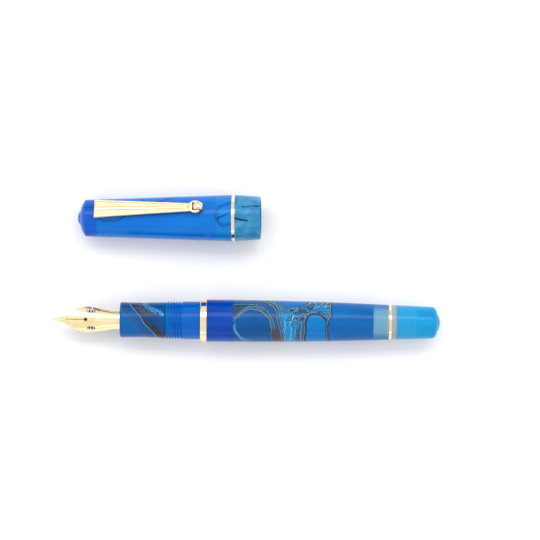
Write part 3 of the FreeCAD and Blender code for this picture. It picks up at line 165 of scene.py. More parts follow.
def make_light():
    world = bpy.data.worlds.new("studio")
    world.use_nodes = True
    background = world.node_tree.nodes["Background"]
    background.inputs["Color"].default_value = (1.0, 1.0, 1.0, 1)
    background.inputs["Strength"].default_value = SKY_STRENGTH
    bpy.context.scene.world = world
    soft_box("key_box", 1.5, 0.42, 3.0, 33)
    soft_box("low_strip", 1.5, 0.08, 1.8, -69)
    soft_box("left_box", 0.7, 0.9, 0.6, 0, -58)
    soft_box("right_box", 0.7, 0.9, 0.6, 0, 58)
    scene = bpy.context.scene
    scene.view_settings.view_transform = "Standard"
    scene.view_settings.look = "None"


def make_floor():
    mesh = bpy.data.meshes.new("floor")
    half = FLOOR_SIZE / 2
    corners = [(-half, -half), (half, -half), (half, half), (-half, half)]
    mesh.from_pydata([(x, y, cad_low.z - FLOOR_DROP) for x, y in corners], [], [(0, 1, 2, 3)])
    floor = bpy.data.objects.new("floor", mesh)
    bpy.context.scene.collection.objects.link(floor)
    paint = Paint("floor_paper")
    fine = paint.noise(paint.coordinates(), 40, 4)
    paint.surface(
        base=paint.ramp(fine, [(0.3, (0.915, 0.905, 0.91)), (0.7, (0.935, 0.925, 0.93))]),
        roughness=0.8,
    )
    mesh.materials.append(paint.material)


# ------------------------------------------------------------------------------ material building


class Paint:
    """A material's node tree, with short names for the nodes that the finishes share."""

    def __init__(self, name):
        self.material = bpy.data.materials.new(name)
        self.material.use_nodes = True
        self.tree = self.material.node_tree
        self.shader = self.tree.nodes["Principled BSDF"]

    def node(self, kind, inputs=(), output=0, **settings):
        """Add a node, set or link its inputs in order, and return one output socket."""
        made = self.tree.nodes.new(kind)
        for name, setting in settings.items():
            setattr(made, name, setting)
        for place, value in enumerate(inputs):
            if value is not None:
                self.plug(made.inputs[place], value)
        return made.outputs[output]

    def plug(self, socket, value):
        if isinstance(value, bpy.types.NodeSocket):
            self.tree.links.new(value, socket)
        elif isinstance(value, (tuple, list, Vector)) and socket.type == "RGBA":
            socket.default_value = (*value, 1)
        else:
            socket.default_value = value

    def math(self, operation, first, second=None, third=None):
        return self.node("ShaderNodeMath", (first, second, third), operation=operation)

    def product(self, *factors):
        found = factors[0]
        for factor in factors[1:]:
            found = self.math("MULTIPLY", found, factor)
        return found

    def vector(self, operation, first, second=None, output=0):
        return self.node(
            "ShaderNodeVectorMath", (first, second), output=output, operation=operation
        )

    def scaled(self, vector, factor):
        made = self.tree.nodes.new("ShaderNodeVectorMath")
        made.operation = "SCALE"
        self.plug(made.inputs[0], vector)
        self.plug(made.inputs["Scale"], factor)
        return made.outputs[0]

    def coordinates(self, start=(0, 0, 0)):
        """Places on the piece in millimetres from a start point. They move with the piece."""
        place = self.node("ShaderNodeTexCoord", output="Object")
        return self.scaled(self.vector("SUBTRACT", place, start), 1 / MM)

    def noise(self, place, scale, detail=2.0, roughness=0.5, output=0):
        made = self.tree.nodes.new("ShaderNodeTexNoise")
        self.plug(made.inputs["Vector"], place)
        self.plug(made.inputs["Scale"], scale)
        self.plug(made.inputs["Detail"], detail)
        self.plug(made.inputs["Roughness"], roughness)
        return made.outputs[output]

    def warped(self, place, scale, reach, detail=2.0):
        """Places pushed about by a slow noise, up to about reach each way."""
        push = self.vector("SUBTRACT", self.noise(place, scale, detail, output=1), (0.5,) * 3)
        return self.vector("ADD", place, self.scaled(push, 2 * reach))

    def web(self, place, scale):
        """Distance to the nearest thread of a web of uneven cells."""
        made = self.tree.nodes.new("ShaderNodeTexVoronoi")
        made.feature = "DISTANCE_TO_EDGE"
        self.plug(made.inputs["Vector"], place)
        self.plug(made.inputs["Scale"], scale)
        return made.outputs[0]

    def wave(self, value, pitch):
        """0 to 1 and back once in every pitch."""
        sine = self.math("SINE", self.math("MULTIPLY", value, 2 * math.pi / pitch))
        return self.math("MULTIPLY_ADD", sine, 0.5, 0.5)

    def ramp(self, factor, stops, smooth=False):
        """Colours by a factor from 0 to 1, from stops of (factor, colour)."""
        made = self.tree.nodes.new("ShaderNodeValToRGB")
        self.plug(made.inputs[0], factor)
        elements = made.color_ramp.elements
        made.color_ramp.interpolation = "EASE" if smooth else "LINEAR"
        while len(elements) < len(stops):
            elements.new(1.0)
        for element, (place, colour) in zip(elements, stops):
            element.position = place
            element.color = (*(colour if isinstance(colour, tuple) else (colour,) * 3), 1)
        return made.outputs[0]

    def between(self, value, low, high):
        """0 below low, 1 above high, and smooth in between."""
        made = self.tree.nodes.new("ShaderNodeMapRange")
        made.interpolation_type = "SMOOTHSTEP"
        self.plug(made.inputs[0], value)
        self.plug(made.inputs[1], low)
        self.plug(made.inputs[2], high)
        return made.outputs[0]

    def blend(self, factor, first, second):
        made = self.tree.nodes.new("ShaderNodeMix")
        made.data_type = "RGBA"
        self.plug(made.inputs[0], factor)
        self.plug(made.inputs[6], first)
        self.plug(made.inputs[7], second)
        return made.outputs[2]

    def near(self, value, middle, width):
        """1 where a value is at middle, falling to 0 at width away from it."""
        away = self.math("ABSOLUTE", self.math("SUBTRACT", value, middle))
        return self.math("SUBTRACT", 1.0, self.between(away, 0.0, width))

    def part(self, place, axis):
        return self.node("ShaderNodeSeparateXYZ", (place,), output=axis)

    def joined(self, x, y, z):
        return self.node("ShaderNodeCombineXYZ", (x, y, z))

    def tipped(self, place, middle, degrees):
        """Places seen from a middle point, along and across a line tipped by an angle."""
        from_middle = self.vector("SUBTRACT", place, (*middle, 0))
        cosine, sine = math.cos(math.radians(degrees)), math.sin(math.radians(degrees))
        along = self.vector("DOT_PRODUCT", from_middle, (cosine, sine, 0), output=1)
        across = self.vector("DOT_PRODUCT", from_middle, (-sine, cosine, 0), output=1)
        return self.joined(along, across, 0.0)

    def cell(self, place, start, middle, half, rounding, degrees=0):
        """Distance outside a rounded block that runs right through, in millimetres from a start."""
        around_middle = self.tipped(place, (start + middle[0], middle[1]), degrees)
        away = self.vector("ABSOLUTE", around_middle)
        inset = (half[0] - rounding, half[1] - rounding, 0)
        outside = self.vector("MAXIMUM", self.vector("SUBTRACT", away, inset), (0, 0, 0))
        return self.math("SUBTRACT", self.vector("LENGTH", outside, output=1), rounding)

    def inside(self, distance):
        """1 inside a cell and 0 outside it, with a fine soft edge."""
        return self.between(distance, 0.03, -0.06)

    def nearest(self, distances, smoothing):
        found = distances[0]
        for distance in distances[1:]:
            found = self.math("SMOOTH_MIN", found, distance, smoothing)
        return found

    def bump(self, height, strength, reach=0.1 * MM):
        made = self.tree.nodes.new("ShaderNodeBump")
        self.plug(made.inputs["Height"], height)
        self.plug(made.inputs["Strength"], strength)
        self.plug(made.inputs["Distance"], reach)
        self.plug(self.shader.inputs["Normal"], made.outputs[0])

    def surface(self, base, **settings):
        names = {
            "metallic": "Metallic",
            "roughness": "Roughness",
            "ior": "IOR",
            "transmission": "Transmission Weight",
            "specular": "Specular IOR Level",
        }
        self.plug(self.shader.inputs["Base Color"], base)
        for name, value in settings.items():
            self.plug(self.shader.inputs[names[name]], value)
        return self.material


# ------------------------------------------------------------------------------ resins
#
# Places are in millimetres, along a piece's axis and across it as seen from above. A cell of
# resin is given by its middle, its half sizes, how round its corners are and how it is tipped.


def shade(red, green, blue):
    """A colour on the usual 0 to 255 scale, as the linear light that the shader wants."""
    return tuple(
        part / 255 / 12.92 if part <= 10 else ((part / 255 + 0.055) / 1.055) ** 2.4
        for part in (red, green, blue)
    )


DARK = shade(14, 24, 42)
BROWN = shade(74, 66, 74)
SMOKE = shade(42, 80, 114)
SLATE = shade(26, 92, 152)
GREY_BLUE = shade(56, 108, 148)
PALE = shade(132, 180, 212)
WHITE_VEIN = shade(196, 222, 236)
CYAN = shade(0, 138, 200)
BLUE = shade(0, 90, 162)
DEEP_CELL = shade(0, 76, 138)
BRIGHT_CELL = shade(0, 122, 194)
GLOSS = 0.13

FOLD_SLOPE = 32
FOLD_STRETCH = (0.45, 1.0, 1.0)

# The barrel's cells, measured from the back of its collar.
FIRST_CELL = ((4.2, -3.8), (7.5, 7.3), 4.0)
LIT_CORNER = ((7.2, 0.0), (6.7, 6.4), 4.6)
ARCH = ((1.4, -5.2), (11.4, 10.0), 5.6)
SECOND_CELL = ((27.7, -10.0), (3.35, 12.5), 3.3)
UPPER_CELL = ((20.2, 10.4), (6.9, 5.4), 5.3)
SWIRL_LENGTH = 33.0
CELL_LEAN = 0.13
LEAN_TOP = 2.0
FALL_START = 7.5
FALL_END = -0.5
FALL_CURVE = 1.6
FALL_DEPTH = 3.6
SHOULDER_LINE = 15.2
SHOULDER_LEAN = 0.18
BEND_HEIGHT = 3.0
BEND_CURVE = 0.25
BEND_CROWDING = 0.35
FOLD_MIDDLE = 20.5
FOLD_HALF_LENGTH = 2.6
FOLD_DIP = 3.4
FOLD_FOOT = 0.6
PALE_THREADS = ((17.4, 0.15), (19.2, 0.13))

# The grip's dark foot and bright flakes, measured from its front.
FOOT = ((13.1, -4.3), (3.0, 0.9), 0.7, -42)
FLAKE = ((9.9, 4.3), (2.5, 0.62), 0.5, -34)
CHIP = ((13.3, 2.7), (1.5, 0.40), 0.35, -40)

# The cap's loop and streaks, measured from its band, and its arcs, measured from its closed end.
LOOP = ((2.4, 3.3), (9.2, 3.7), 3.5, 21)
STREAK = ((2.6, 0.0), (2.3, 0.2), 0.18, -11)
DRIFT = ((5.6, 1.0), (1.9, 0.8), 0.7, 50)
UNDER_CLIP = ((11.4, 1.9), (4.3, 2.7), 2.6)
BESIDE_CLIP = ((30.0, 10.2), (9.5, 3.4), 3.3, 14)
BY_CLIP_END = ((2.0, 5.3), (3.4, 1.6), 1.5)
CAP_DARK_END = 6.8
CAP_LIGHT_START = 45.8


def clouds(paint, place, low, high):
    """The soft uneven tint of cast resin, drawn out along the rod that it was turned from."""
    drawn = paint.vector("MULTIPLY", place, (0.25, 1.0, 1.0))
    return paint.ramp(paint.noise(drawn, 0.22, 3, 0.55), [(0.32, low), (0.68, high)], smooth=True)


def resin_finish(paint, colour, transmission, place):
    """Polished cast resin: gloss with faint polishing marks."""
    marks = paint.noise(paint.vector("MULTIPLY", place, (0.4, 6, 6)), 3.0, 3, 0.6)
    paint.surface(
        colour,
        roughness=paint.ramp(marks, [(0.3, 0.04), (0.8, 0.10)]),
        ior=1.5,
        specular=GLOSS,
        transmission=transmission,
    )
    return paint.material


def plain_resin(name, start, low, high, transmission):
    paint = Paint(name)
    place = paint.coordinates(start)
    return resin_finish(paint, clouds(paint, place, low, high), transmission, place)


def rings(paint, distance, wide, stops):
    """Colours by distance from a cell's edge, given in millimetres up to wide."""
    return paint.ramp(
        paint.math("DIVIDE", distance, wide), [(place / wide, colour) for place, colour in stops]
    )


def either(paint, first, by_first, second, by_second):
    """The colours of whichever cell is nearer."""
    nearer = paint.between(paint.math("SUBTRACT", first, second), -0.12, 0.12)
    return paint.blend(nearer, by_first, by_second)


def lightning(paint, place):
    """Broken pale veins with dark edges over grey-blue and cyan, where the colours were folded."""
    drawn = paint.vector("MULTIPLY", paint.tipped(place, (0, 0), FOLD_SLOPE), FOLD_STRETCH)
    folded = paint.warped(paint.warped(drawn, 0.45, 1.1, 1), 1.2, 0.30, 3)
    web = paint.web(folded, 0.40)
    ground = paint.ramp(
        paint.noise(folded, 0.50, 3),
        [
            (0.34, SMOKE), (0.42, GREY_BLUE), (0.48, CYAN), (0.51, CYAN), (0.54, GREY_BLUE),
            (0.58, SMOKE), (0.62, DARK), (0.65, BROWN), (0.70, GREY_BLUE),
        ],
    )
    veins = paint.ramp(
        web, [(0.0, WHITE_VEIN), (0.012, PALE), (0.035, GREY_BLUE), (0.06, DARK), (0.12, SMOKE)]
    )
    broken = paint.between(paint.noise(place, 0.7, 2), 0.42, 0.52)
    return paint.blend(paint.product(paint.between(web, 0.16, 0.10), broken), ground, veins)


def bush_seen_through(paint, place, colour):
    """The brass bush inside the barrel's tail shows as a pale band with fine cross lines."""
    along, across = paint.part(place, 0), paint.part(place, 1)
    brass = paint.ramp(
        paint.wave(along, BUSH_PITCH), [(0.0, shade(98, 152, 186)), (1.0, shade(112, 166, 188))]
    )
    low, high = front_of("tail_bush"), rear_of("tail_bush")
    brass = paint.blend(paint.near(along, high - 0.1, 0.35), brass, shade(206, 190, 140))
    seen = paint.product(
        paint.between(along, low - 0.3, low + 0.3),
        paint.between(along, high, high - 0.1),
        paint.between(paint.math("ABSOLUTE", across), 6.2, 3.0),
    )
    return paint.blend(seen, colour, brass)


def ribbon_over(paint, first, arch, uneven):
    """The smoky ribbon between the first cell and the arch over it, and the line along the arch."""
    ribbon = rings(
        paint,
        paint.math("ADD", first, uneven),
        3.0,
        [
            (0.0, GREY_BLUE), (0.5, GREY_BLUE), (0.9, SMOKE), (1.15, PALE), (1.25, SMOKE),
            (1.7, GREY_BLUE), (2.0, BROWN), (3.0, SMOKE),
        ],
    )
    edge = rings(paint, first, 0.5, [(0.0, DARK), (0.18, DARK), (0.28, PALE), (0.5, SMOKE)])
    ribbon = paint.blend(paint.between(first, 0.5, 0.3), ribbon, edge)
    ribbon = paint.blend(paint.between(arch, 0.05, -0.05), SLATE, ribbon)
    line = rings(
        paint,
        paint.math("MULTIPLY_ADD", uneven, 0.5, arch),
        0.9,
        [(0.0, DARK), (0.12, BROWN), (0.34, DARK), (0.44, PALE), (0.6, SMOKE), (0.9, SLATE)],
    )
    on_line = paint.product(paint.between(arch, -0.05, 0.05), paint.between(arch, 0.9, 0.7))
    return paint.blend(on_line, ribbon, line)


def shoulder_distance(paint, along, across):
    """Distance behind the pair of veins that leans back and bends forward near the top."""
    above_bend = paint.math("MAXIMUM", paint.math("SUBTRACT", across, BEND_HEIGHT), 0.0)
    bend = paint.product(above_bend, above_bend, BEND_CURVE)
    slant = paint.math("MULTIPLY_ADD", across, SHOULDER_LEAN, paint.math("ADD", along, bend))
    behind = paint.math("SUBTRACT", slant, COLLAR_REAR + SHOULDER_LINE)
    crowding = paint.math("MULTIPLY_ADD", above_bend, BEND_CROWDING, 1.0)
    return paint.math("DIVIDE", behind, crowding)


def shoulder_veins(paint, shoulder, uneven):
    """The pair of veins behind the first cell and its arch, and the cyan beyond them."""
    return rings(
        paint,
        paint.math("ADD", paint.math("MULTIPLY", uneven, 0.6), paint.math("ADD", shoulder, 1.0)),
        6.0,
        [
            (0.0, SLATE), (0.3, SMOKE), (0.5, BROWN), (0.62, DARK), (0.74, PALE), (0.9, DARK),
            (1.15, GREY_BLUE), (1.4, DARK), (1.55, PALE), (1.7, SMOKE), (2.0, GREY_BLUE), (2.4, CYAN),
            (6.0, CYAN),
        ],
    )


def veins_round_second(paint, second, uneven):
    """Three veins that follow each other round the second cell."""
    return rings(
        paint,
        paint.math("MULTIPLY_ADD", uneven, 0.4, second),
        6.0,
        [
            (0.0, DARK), (0.30, DARK), (0.40, BROWN), (0.62, BROWN), (0.70, PALE), (0.80, DARK),
            (0.95, GREY_BLUE), (1.45, SMOKE), (1.60, BROWN), (1.74, PALE), (1.9, GREY_BLUE),
            (2.4, SMOKE), (2.5, DARK), (2.6, GREY_BLUE), (3.4, SMOKE), (3.5, PALE), (3.65, GREY_BLUE),
            (4.4, CYAN), (6.0, CYAN),
        ],
    )


def veins_round_upper(paint, upper):
    """Two fine veins round the cell at the barrel's upper side."""
    return rings(
        paint,
        upper,
        6.0,
        [
            (0.0, DARK), (0.18, DARK), (0.24, PALE), (0.40, SMOKE), (0.9, GREY_BLUE), (1.1, PALE),
            (1.2, SMOKE), (1.9, GREY_BLUE), (2.1, CYAN), (6.0, CYAN),
        ],
    )


def barrel_resin():
    """Blue cells parted by smoky veins, as poured resin leaves them."""
    paint = Paint("swirled_resin")
    place = paint.coordinates(PEN_START)
    flow = paint.warped(paint.warped(place, 0.13, 0.9, 1), 0.55, 0.28, 2)
    along, across = paint.part(flow, 0), paint.part(flow, 1)
    start = COLLAR_REAR
    uneven = paint.math("MULTIPLY_ADD", paint.noise(place, 0.8, 3), 0.9, -0.45)

    lean = paint.math("MULTIPLY", paint.math("MINIMUM", across, LEAN_TOP), CELL_LEAN)
    leaning = paint.math("ADD", along, lean)
    fall = paint.between(along, start + FALL_START, start + FALL_END)
    fall = paint.math("POWER", fall, FALL_CURVE)
    falling = paint.math("MULTIPLY_ADD", fall, FALL_DEPTH, across)
    first = paint.cell(paint.joined(leaning, falling, 0.0), start, *FIRST_CELL)
    arch = paint.cell(paint.joined(leaning, across, 0.0), start, *ARCH)
    corner = paint.cell(flow, start, *LIT_CORNER)
    second = paint.cell(flow, start, *SECOND_CELL)
    upper = paint.cell(flow, start, *UPPER_CELL)
    shoulder = shoulder_distance(paint, along, across)
    step = paint.between(across, 2.5, -0.5)
    to_end = paint.math("SUBTRACT", start + SWIRL_LENGTH, paint.math("ADD", along, step))

    by_first = ribbon_over(paint, first, arch, uneven)
    fill = paint.product(
        paint.between(along, start + 10.6, start + 11.8),
        paint.between(across, -0.5, -3.5),
        paint.between(first, 0.2, 0.5),
    )
    by_first = paint.blend(fill, by_first, shade(72, 70, 82))
    by_first = paint.blend(
        paint.between(shoulder, -1.0, -0.8), by_first, shoulder_veins(paint, shoulder, uneven)
    )
    by_second = veins_round_second(paint, second, uneven)
    colour = either(paint, shoulder, by_first, second, by_second)
    lower_cells = paint.math("MINIMUM", shoulder, second)
    colour = either(paint, lower_cells, colour, upper, veins_round_upper(paint, upper))

    dip = paint.near(along, start + FOLD_MIDDLE, FOLD_HALF_LENGTH)
    fold_foot = paint.math("MULTIPLY_ADD", dip, -FOLD_DIP, FOLD_FOOT)
    folded = paint.product(
        paint.between(along, start + 16.0, start + 19.0),
        paint.between(paint.math("SUBTRACT", across, fold_foot), -0.8, 0.6),
        paint.between(upper, 0.3, 0.5),
        paint.between(second, 0.5, 0.9),
    )
    colour = paint.blend(folded, colour, lightning(paint, place))

    shaken = paint.part(paint.warped(place, 0.6, 1.0, 2), 0)
    threads = [paint.near(shaken, start + behind, wide) for behind, wide in PALE_THREADS]
    threads = paint.product(paint.math("MAXIMUM", *threads), paint.between(across, 2.6, 1.0))
    colour = paint.blend(threads, colour, shade(150, 186, 214))

    end_edge = rings(
        paint,
        to_end,
        1.2,
        [
            (0.0, shade(40, 84, 128)), (0.1, DARK), (0.3, BROWN), (0.55, SMOKE), (0.7, PALE),
            (0.85, SMOKE),
        ],
    )
    near_end = paint.product(paint.between(to_end, 1.0, 0.7), paint.between(second, 0.1, 0.4))
    colour = paint.blend(near_end, colour, end_edge)

    lit_rim = paint.product(
        paint.near(corner, -0.2, 0.7),
        paint.between(along, start + 7, start + 2),
        paint.between(across, 0.5, -3.0),
    )
    in_first = paint.blend(lit_rim, clouds(paint, place, DEEP_CELL, BLUE), shade(84, 150, 196))
    in_second = clouds(paint, place, shade(0, 112, 186), BRIGHT_CELL)
    past_end = clouds(paint, place, shade(0, 94, 168), shade(0, 106, 180))
    colour = paint.blend(paint.inside(first), colour, in_first)
    colour = paint.blend(paint.inside(second), colour, in_second)
    colour = paint.blend(paint.inside(upper), colour, shade(0, 112, 196))
    colour = paint.blend(paint.inside(to_end), colour, past_end)
    return resin_finish(paint, bush_seen_through(paint, place, colour), 0.12, place)


def section_resin():
    """Blue with a slanting smoky drift, a dark foot and two bright flakes."""
    paint = Paint("section_resin")
    place = paint.coordinates(PEN_START)
    flow = paint.warped(paint.warped(place, 0.2, 0.8, 1), 0.9, 0.22, 2)
    along, across = paint.part(flow, 0), paint.part(flow, 1)
    front = front_of("grip_section")
    slant = paint.math(
        "ADD", paint.math("MULTIPLY", along, 0.764), paint.math("MULTIPLY", across, 0.646)
    )
    colour = rings(
        paint,
        paint.math("SUBTRACT", slant, front - 6.8),
        16.0,
        [
            (0.0, shade(0, 92, 164)), (4.6, shade(0, 96, 170)), (4.8, BROWN), (5.15, shade(60, 70, 90)),
            (5.3, shade(0, 90, 164)), (7.0, shade(0, 82, 150)), (7.2, shade(96, 140, 176)),
            (7.45, shade(92, 88, 96)), (7.8, DARK), (8.1, shade(66, 60, 70)), (8.5, shade(24, 62, 108)),
            (11.2, shade(10, 72, 132)), (12.4, shade(0, 76, 150)), (16.0, shade(0, 84, 160)),
        ],
    )
    in_smoke = paint.product(
        paint.between(slant, front + 0.9, front + 1.6),
        paint.between(slant, front + 7.5, front + 4.5),
        paint.between(across, 0.8, 3.2),
    )
    wisps = paint.ramp(
        paint.noise(paint.vector("MULTIPLY", flow, (0.6, 1.4, 1.0)), 0.9, 4),
        [
            (0.36, shade(30, 66, 104)), (0.47, shade(56, 78, 106)), (0.52, shade(96, 100, 112)),
            (0.56, shade(40, 60, 92)),
        ],
    )
    colour = paint.blend(in_smoke, colour, wisps)
    grain = paint.ramp(
        paint.noise(paint.tipped(flow, (0, 0), FOOT[-1]), 1.6, 3),
        [(0.38, shade(26, 26, 38)), (0.52, shade(62, 52, 56)), (0.60, shade(20, 44, 80))],
    )
    foot = paint.cell(flow, front, *FOOT)
    colour = paint.blend(paint.between(foot, 0.5, -0.4), colour, grain)
    torn = paint.warped(flow, 0.9, 0.7, 2)
    bright = paint.math(
        "MINIMUM", paint.cell(torn, front, *FLAKE), paint.cell(torn, front, *CHIP)
    )
    edged = rings(
        paint,
        paint.math("ADD", bright, 0.6),
        0.6,
        [
            (0.0, shade(8, 116, 184)), (0.36, shade(20, 136, 202)), (0.46, shade(120, 176, 210)),
            (0.6, shade(50, 84, 118)),
        ],
    )
    colour = paint.blend(paint.between(bright, 0.06, -0.04), colour, edged)
    return resin_finish(paint, colour, 0.12, place)


def cap_ground(paint, place, flow):
    """The cap's plain colours: deeper at its closed end, lighter by the band, paler at its mouth."""
    along = paint.part(place, 0)
    colour = clouds(paint, place, shade(0, 112, 208), shade(0, 122, 216))
    dark_end = paint.between(along, CAP_DARK_END, CAP_DARK_END - 0.6)
    colour = paint.blend(dark_end, colour, shade(0, 92, 204))
    light_start = paint.between(along, CAP_LIGHT_START, CAP_LIGHT_START + 0.6)
    colour = paint.blend(light_start, colour, shade(4, 126, 212))
    lip = paint.ramp(
        paint.noise(flow, 0.3, 4),
        [(0.35, shade(34, 130, 184)), (0.5, shade(58, 142, 190)), (0.62, shade(86, 154, 192))],
    )
    return paint.blend(paint.between(along, CAP_BAND, CAP_BAND + 0.4), colour, lip)


def cap_veins(paint, flow):
    """Where the cap's dark veins run: one inside the loop, one near the mouth, and a streak."""
    along = paint.part(flow, 0)
    shaken = paint.warped(flow, 1.1, 0.55, 2)
    shaken_along, shaken_across = paint.part(shaken, 0), paint.part(shaken, 1)

    def line(slope, height, wide):
        level = paint.math("MULTIPLY_ADD", shaken_along, -slope, slope * CAP_BAND - height)
        return paint.near(paint.math("ADD", shaken_across, level), 0.0, wide)

    in_loop = paint.product(
        line(0.40, 2.6, 0.42),
        paint.between(along, CAP_BAND - 6.0, CAP_BAND - 5.2),
        paint.between(along, CAP_BAND - 0.2, CAP_BAND - 0.9),
    )
    at_mouth = paint.product(
        line(0.14, 3.7, 0.30), paint.between(along, CAP_BAND + 2.2, CAP_BAND + 3.0)
    )
    streak = paint.between(paint.cell(flow, CAP_BAND, *STREAK), 0.15, -0.05)
    return paint.math("MAXIMUM", paint.math("MAXIMUM", in_loop, at_mouth), streak)


def cap_resin():
    """Clear blue, paler at its mouth, with dark veins by the clip and a loop of them at the band."""
    paint = Paint("cap_resin")
    place = paint.coordinates(CAP_START)
    flow = paint.warped(paint.warped(place, 0.16, 0.7, 1), 0.8, 0.2, 2)
    colour = cap_ground(paint, place, flow)

    loop = paint.cell(flow, CAP_BAND, *LOOP)
    ring = rings(
        paint,
        paint.math("ADD", loop, 1.2),
        1.2,
        [
            (0.0, shade(0, 114, 208)), (0.14, shade(20, 78, 138)), (0.32, shade(4, 108, 196)),
            (0.80, shade(4, 104, 190)), (1.0, shade(14, 62, 114)), (1.2, shade(0, 114, 208)),
        ],
    )
    on_ring = paint.product(
        paint.between(loop, -1.3, -1.0),
        paint.between(loop, 0.05, -0.1),
        paint.between(paint.part(place, 0), CAP_BAND + 1.5, CAP_BAND),
    )
    colour = paint.blend(on_ring, colour, ring)
    faint = paint.near(paint.cell(flow, CAP_BAND, *DRIFT), 0.0, 0.3)
    colour = paint.blend(paint.math("MULTIPLY", faint, 0.6), colour, shade(70, 110, 140))
    colour = paint.blend(cap_veins(paint, flow), colour, shade(16, 30, 50))

    arcs = paint.nearest(
        [paint.cell(flow, 0.0, *shape) for shape in (UNDER_CLIP, BESIDE_CLIP, BY_CLIP_END)], 0.1
    )
    on_arc = paint.math("MULTIPLY", paint.near(arcs, 0.1, 0.42), 0.8)
    return resin_finish(paint, paint.blend(on_arc, colour, shade(20, 62, 112)), 0.15, place)


def blind_resin():
    """Bright blue, with the silvery joint and the thread inside showing as fine cross lines."""
    paint = Paint("bright_blue_resin")
    place = paint.coordinates(PEN_START)
    along = paint.part(place, 0)
    front, rear = front_of("blind_cap"), rear_of("barrel")
    colour = clouds(paint, place, shade(0, 142, 206), shade(10, 158, 214))
    thread = paint.ramp(
        paint.wave(along, BLIND_PITCH),
        [(0.1, shade(24, 148, 206)), (0.5, shade(36, 156, 210)), (0.9, shade(46, 164, 214))],
    )
    on_thread = paint.product(
        paint.between(along, front + 1.6, front + 2.0), paint.between(along, rear + 3.6, rear + 3.2)
    )
    colour = paint.blend(on_thread, colour, thread)
    colour = paint.blend(paint.between(along, front + 1.4, front + 1.1), colour, shade(158, 172, 178))
    colour = paint.blend(paint.near(along, front + 1.45, 0.22), colour, shade(206, 150, 104))
    return resin_finish(paint, colour, 0.15, place)


def sleeve_resin():
    """Clear blue, a little lighter and greener towards its front."""
    paint = Paint("blue_resin")
    place = paint.coordinates(PEN_START)
    front = front_of("front_sleeve")
    base = clouds(paint, place, shade(0, 92, 186), shade(0, 104, 200))
    # A lighter, greener blue over the sleeve's first few millimetres from its front.
    lighter_front = paint.between(paint.part(place, 0), front + 3.5, front + 0.5)
    return resin_finish(paint, paint.blend(lighter_front, base, shade(0, 112, 190)), 0.12, place)


# ------------------------------------------------------------------------------ metals and others


def metal(name, low, high, roughness, grain=(1, 1, 1), start=(0, 0, 0)):
    """Polished metal with fine wipe marks and a slow change of tint."""
    paint = Paint(name)
    place = paint.coordinates(start)
    slow = paint.noise(place, 0.35, 3)
    marks = paint.noise(paint.vector("MULTIPLY", place, grain), 2.2, 4, 0.6)
    paint.surface(
        paint.ramp(slow, [(0.35, low), (0.65, high)]),
        metallic=1.0,
        roughness=paint.ramp(marks, [(0.35, roughness * 0.85), (0.75, roughness * 1.2)]),
    )
    paint.bump(marks, 0.003)
    return paint.material


def plastic(name, low, high, roughness, transmission=0.0, ior=1.49):
    paint = Paint(name)
    place = paint.coordinates()
    grain = paint.noise(place, 1.6, 4, 0.6)
    paint.surface(
        paint.ramp(grain, [(0.3, low), (0.7, high)]),
        roughness=paint.ramp(grain, [(0.3, roughness * 0.8), (0.8, roughness * 1.25)]),
        transmission=transmission,
        ior=ior,
    )
    paint.bump(grain, 0.05)
    return paint.material


def make_finishes():
    """Every material slot of the record, as a material."""
    gold_low, gold_high = (0.96, 0.74, 0.46), (1.0, 0.81, 0.55)
    return {
        "nib_gold": metal("nib_gold", (0.98, 0.80, 0.44), (1.0, 0.86, 0.52), 0.20, (1, 3, 1)),
        "tipping": metal("tipping", (0.62, 0.62, 0.62), (0.75, 0.74, 0.72), 0.2),
        "feed_black": plastic("feed_black", (0.008, 0.008, 0.010), (0.02, 0.02, 0.022), 0.35),
        "housing_black": plastic("housing_black", (0.01, 0.01, 0.012), (0.025, 0.025, 0.03), 0.4),
        "section_resin": section_resin(),
        "seal_rubber": plastic("seal_rubber", (0.012, 0.012, 0.012), (0.03, 0.03, 0.03), 0.6),
        "blue_resin": sleeve_resin(),
        "gilt_metal": metal("gilt_metal", gold_low, gold_high, 0.10, (1, 3, 3)),
        "deep_blue_resin": plain_resin(
            "deep_blue_resin", PEN_START, shade(0, 60, 160), shade(0, 74, 176), 0.12
        ),
        "swirled_resin": barrel_resin(),
        "bush_brass": metal("bush_brass", (0.62, 0.52, 0.24), (0.80, 0.70, 0.38), 0.25, (6, 1, 1)),
        "bright_blue_resin": blind_resin(),
        "clear_plastic": plastic(
            "clear_plastic", (0.90, 0.93, 0.95), (0.96, 0.97, 0.98), 0.06, 0.95
        ),
        "plain_metal": metal("plain_metal", (0.62, 0.62, 0.64), (0.78, 0.78, 0.80), 0.18),
        "knob_black": plastic("knob_black", (0.012, 0.012, 0.015), (0.03, 0.03, 0.034), 0.3),
        "screw_white": plastic("screw_white", (0.70, 0.70, 0.67), (0.80, 0.80, 0.77), 0.4),
        "cap_resin": cap_resin(),
        "blue_liner": plastic("blue_liner", (0.0, 0.09, 0.38), (0.0, 0.13, 0.48), 0.35),
        "clip_gold": metal("clip_gold", (0.86, 0.66, 0.43), (0.92, 0.73, 0.50), 0.2, (0.3, 2, 2)),
    }


def dress_nodes():
    """Give each CAD node its material."""
    for row in frame["record"]["subparts"]:
        node = NODES[row["node"]]
        node.data.materials.clear()
        node.data.materials.append(FINISHES[row["material_slot"]])
    soften_edges(NODES["clip_arm"], CLIP_EDGE)
    soften_edges(NODES["nib"], NIB_EDGE)


WELD_REACH = 0.002
CLIP_EDGE = 0.09
NIB_EDGE = 0.05


def soften_edges(node, width):
    """Join a CAD node's faces and round its sharp edges a little."""
    weld = node.modifiers.new("weld", "WELD")
    weld.merge_threshold = WELD_REACH * MM
    bevel = node.modifiers.new("bevel", "BEVEL")
    bevel.width = width * MM
    bevel.segments = 3
    bevel.limit_method = "ANGLE"
    bevel.angle_limit = SHARP_TURN
    bevel.harden_normals = True


# ------------------------------------------------------------------------------ turned meshes

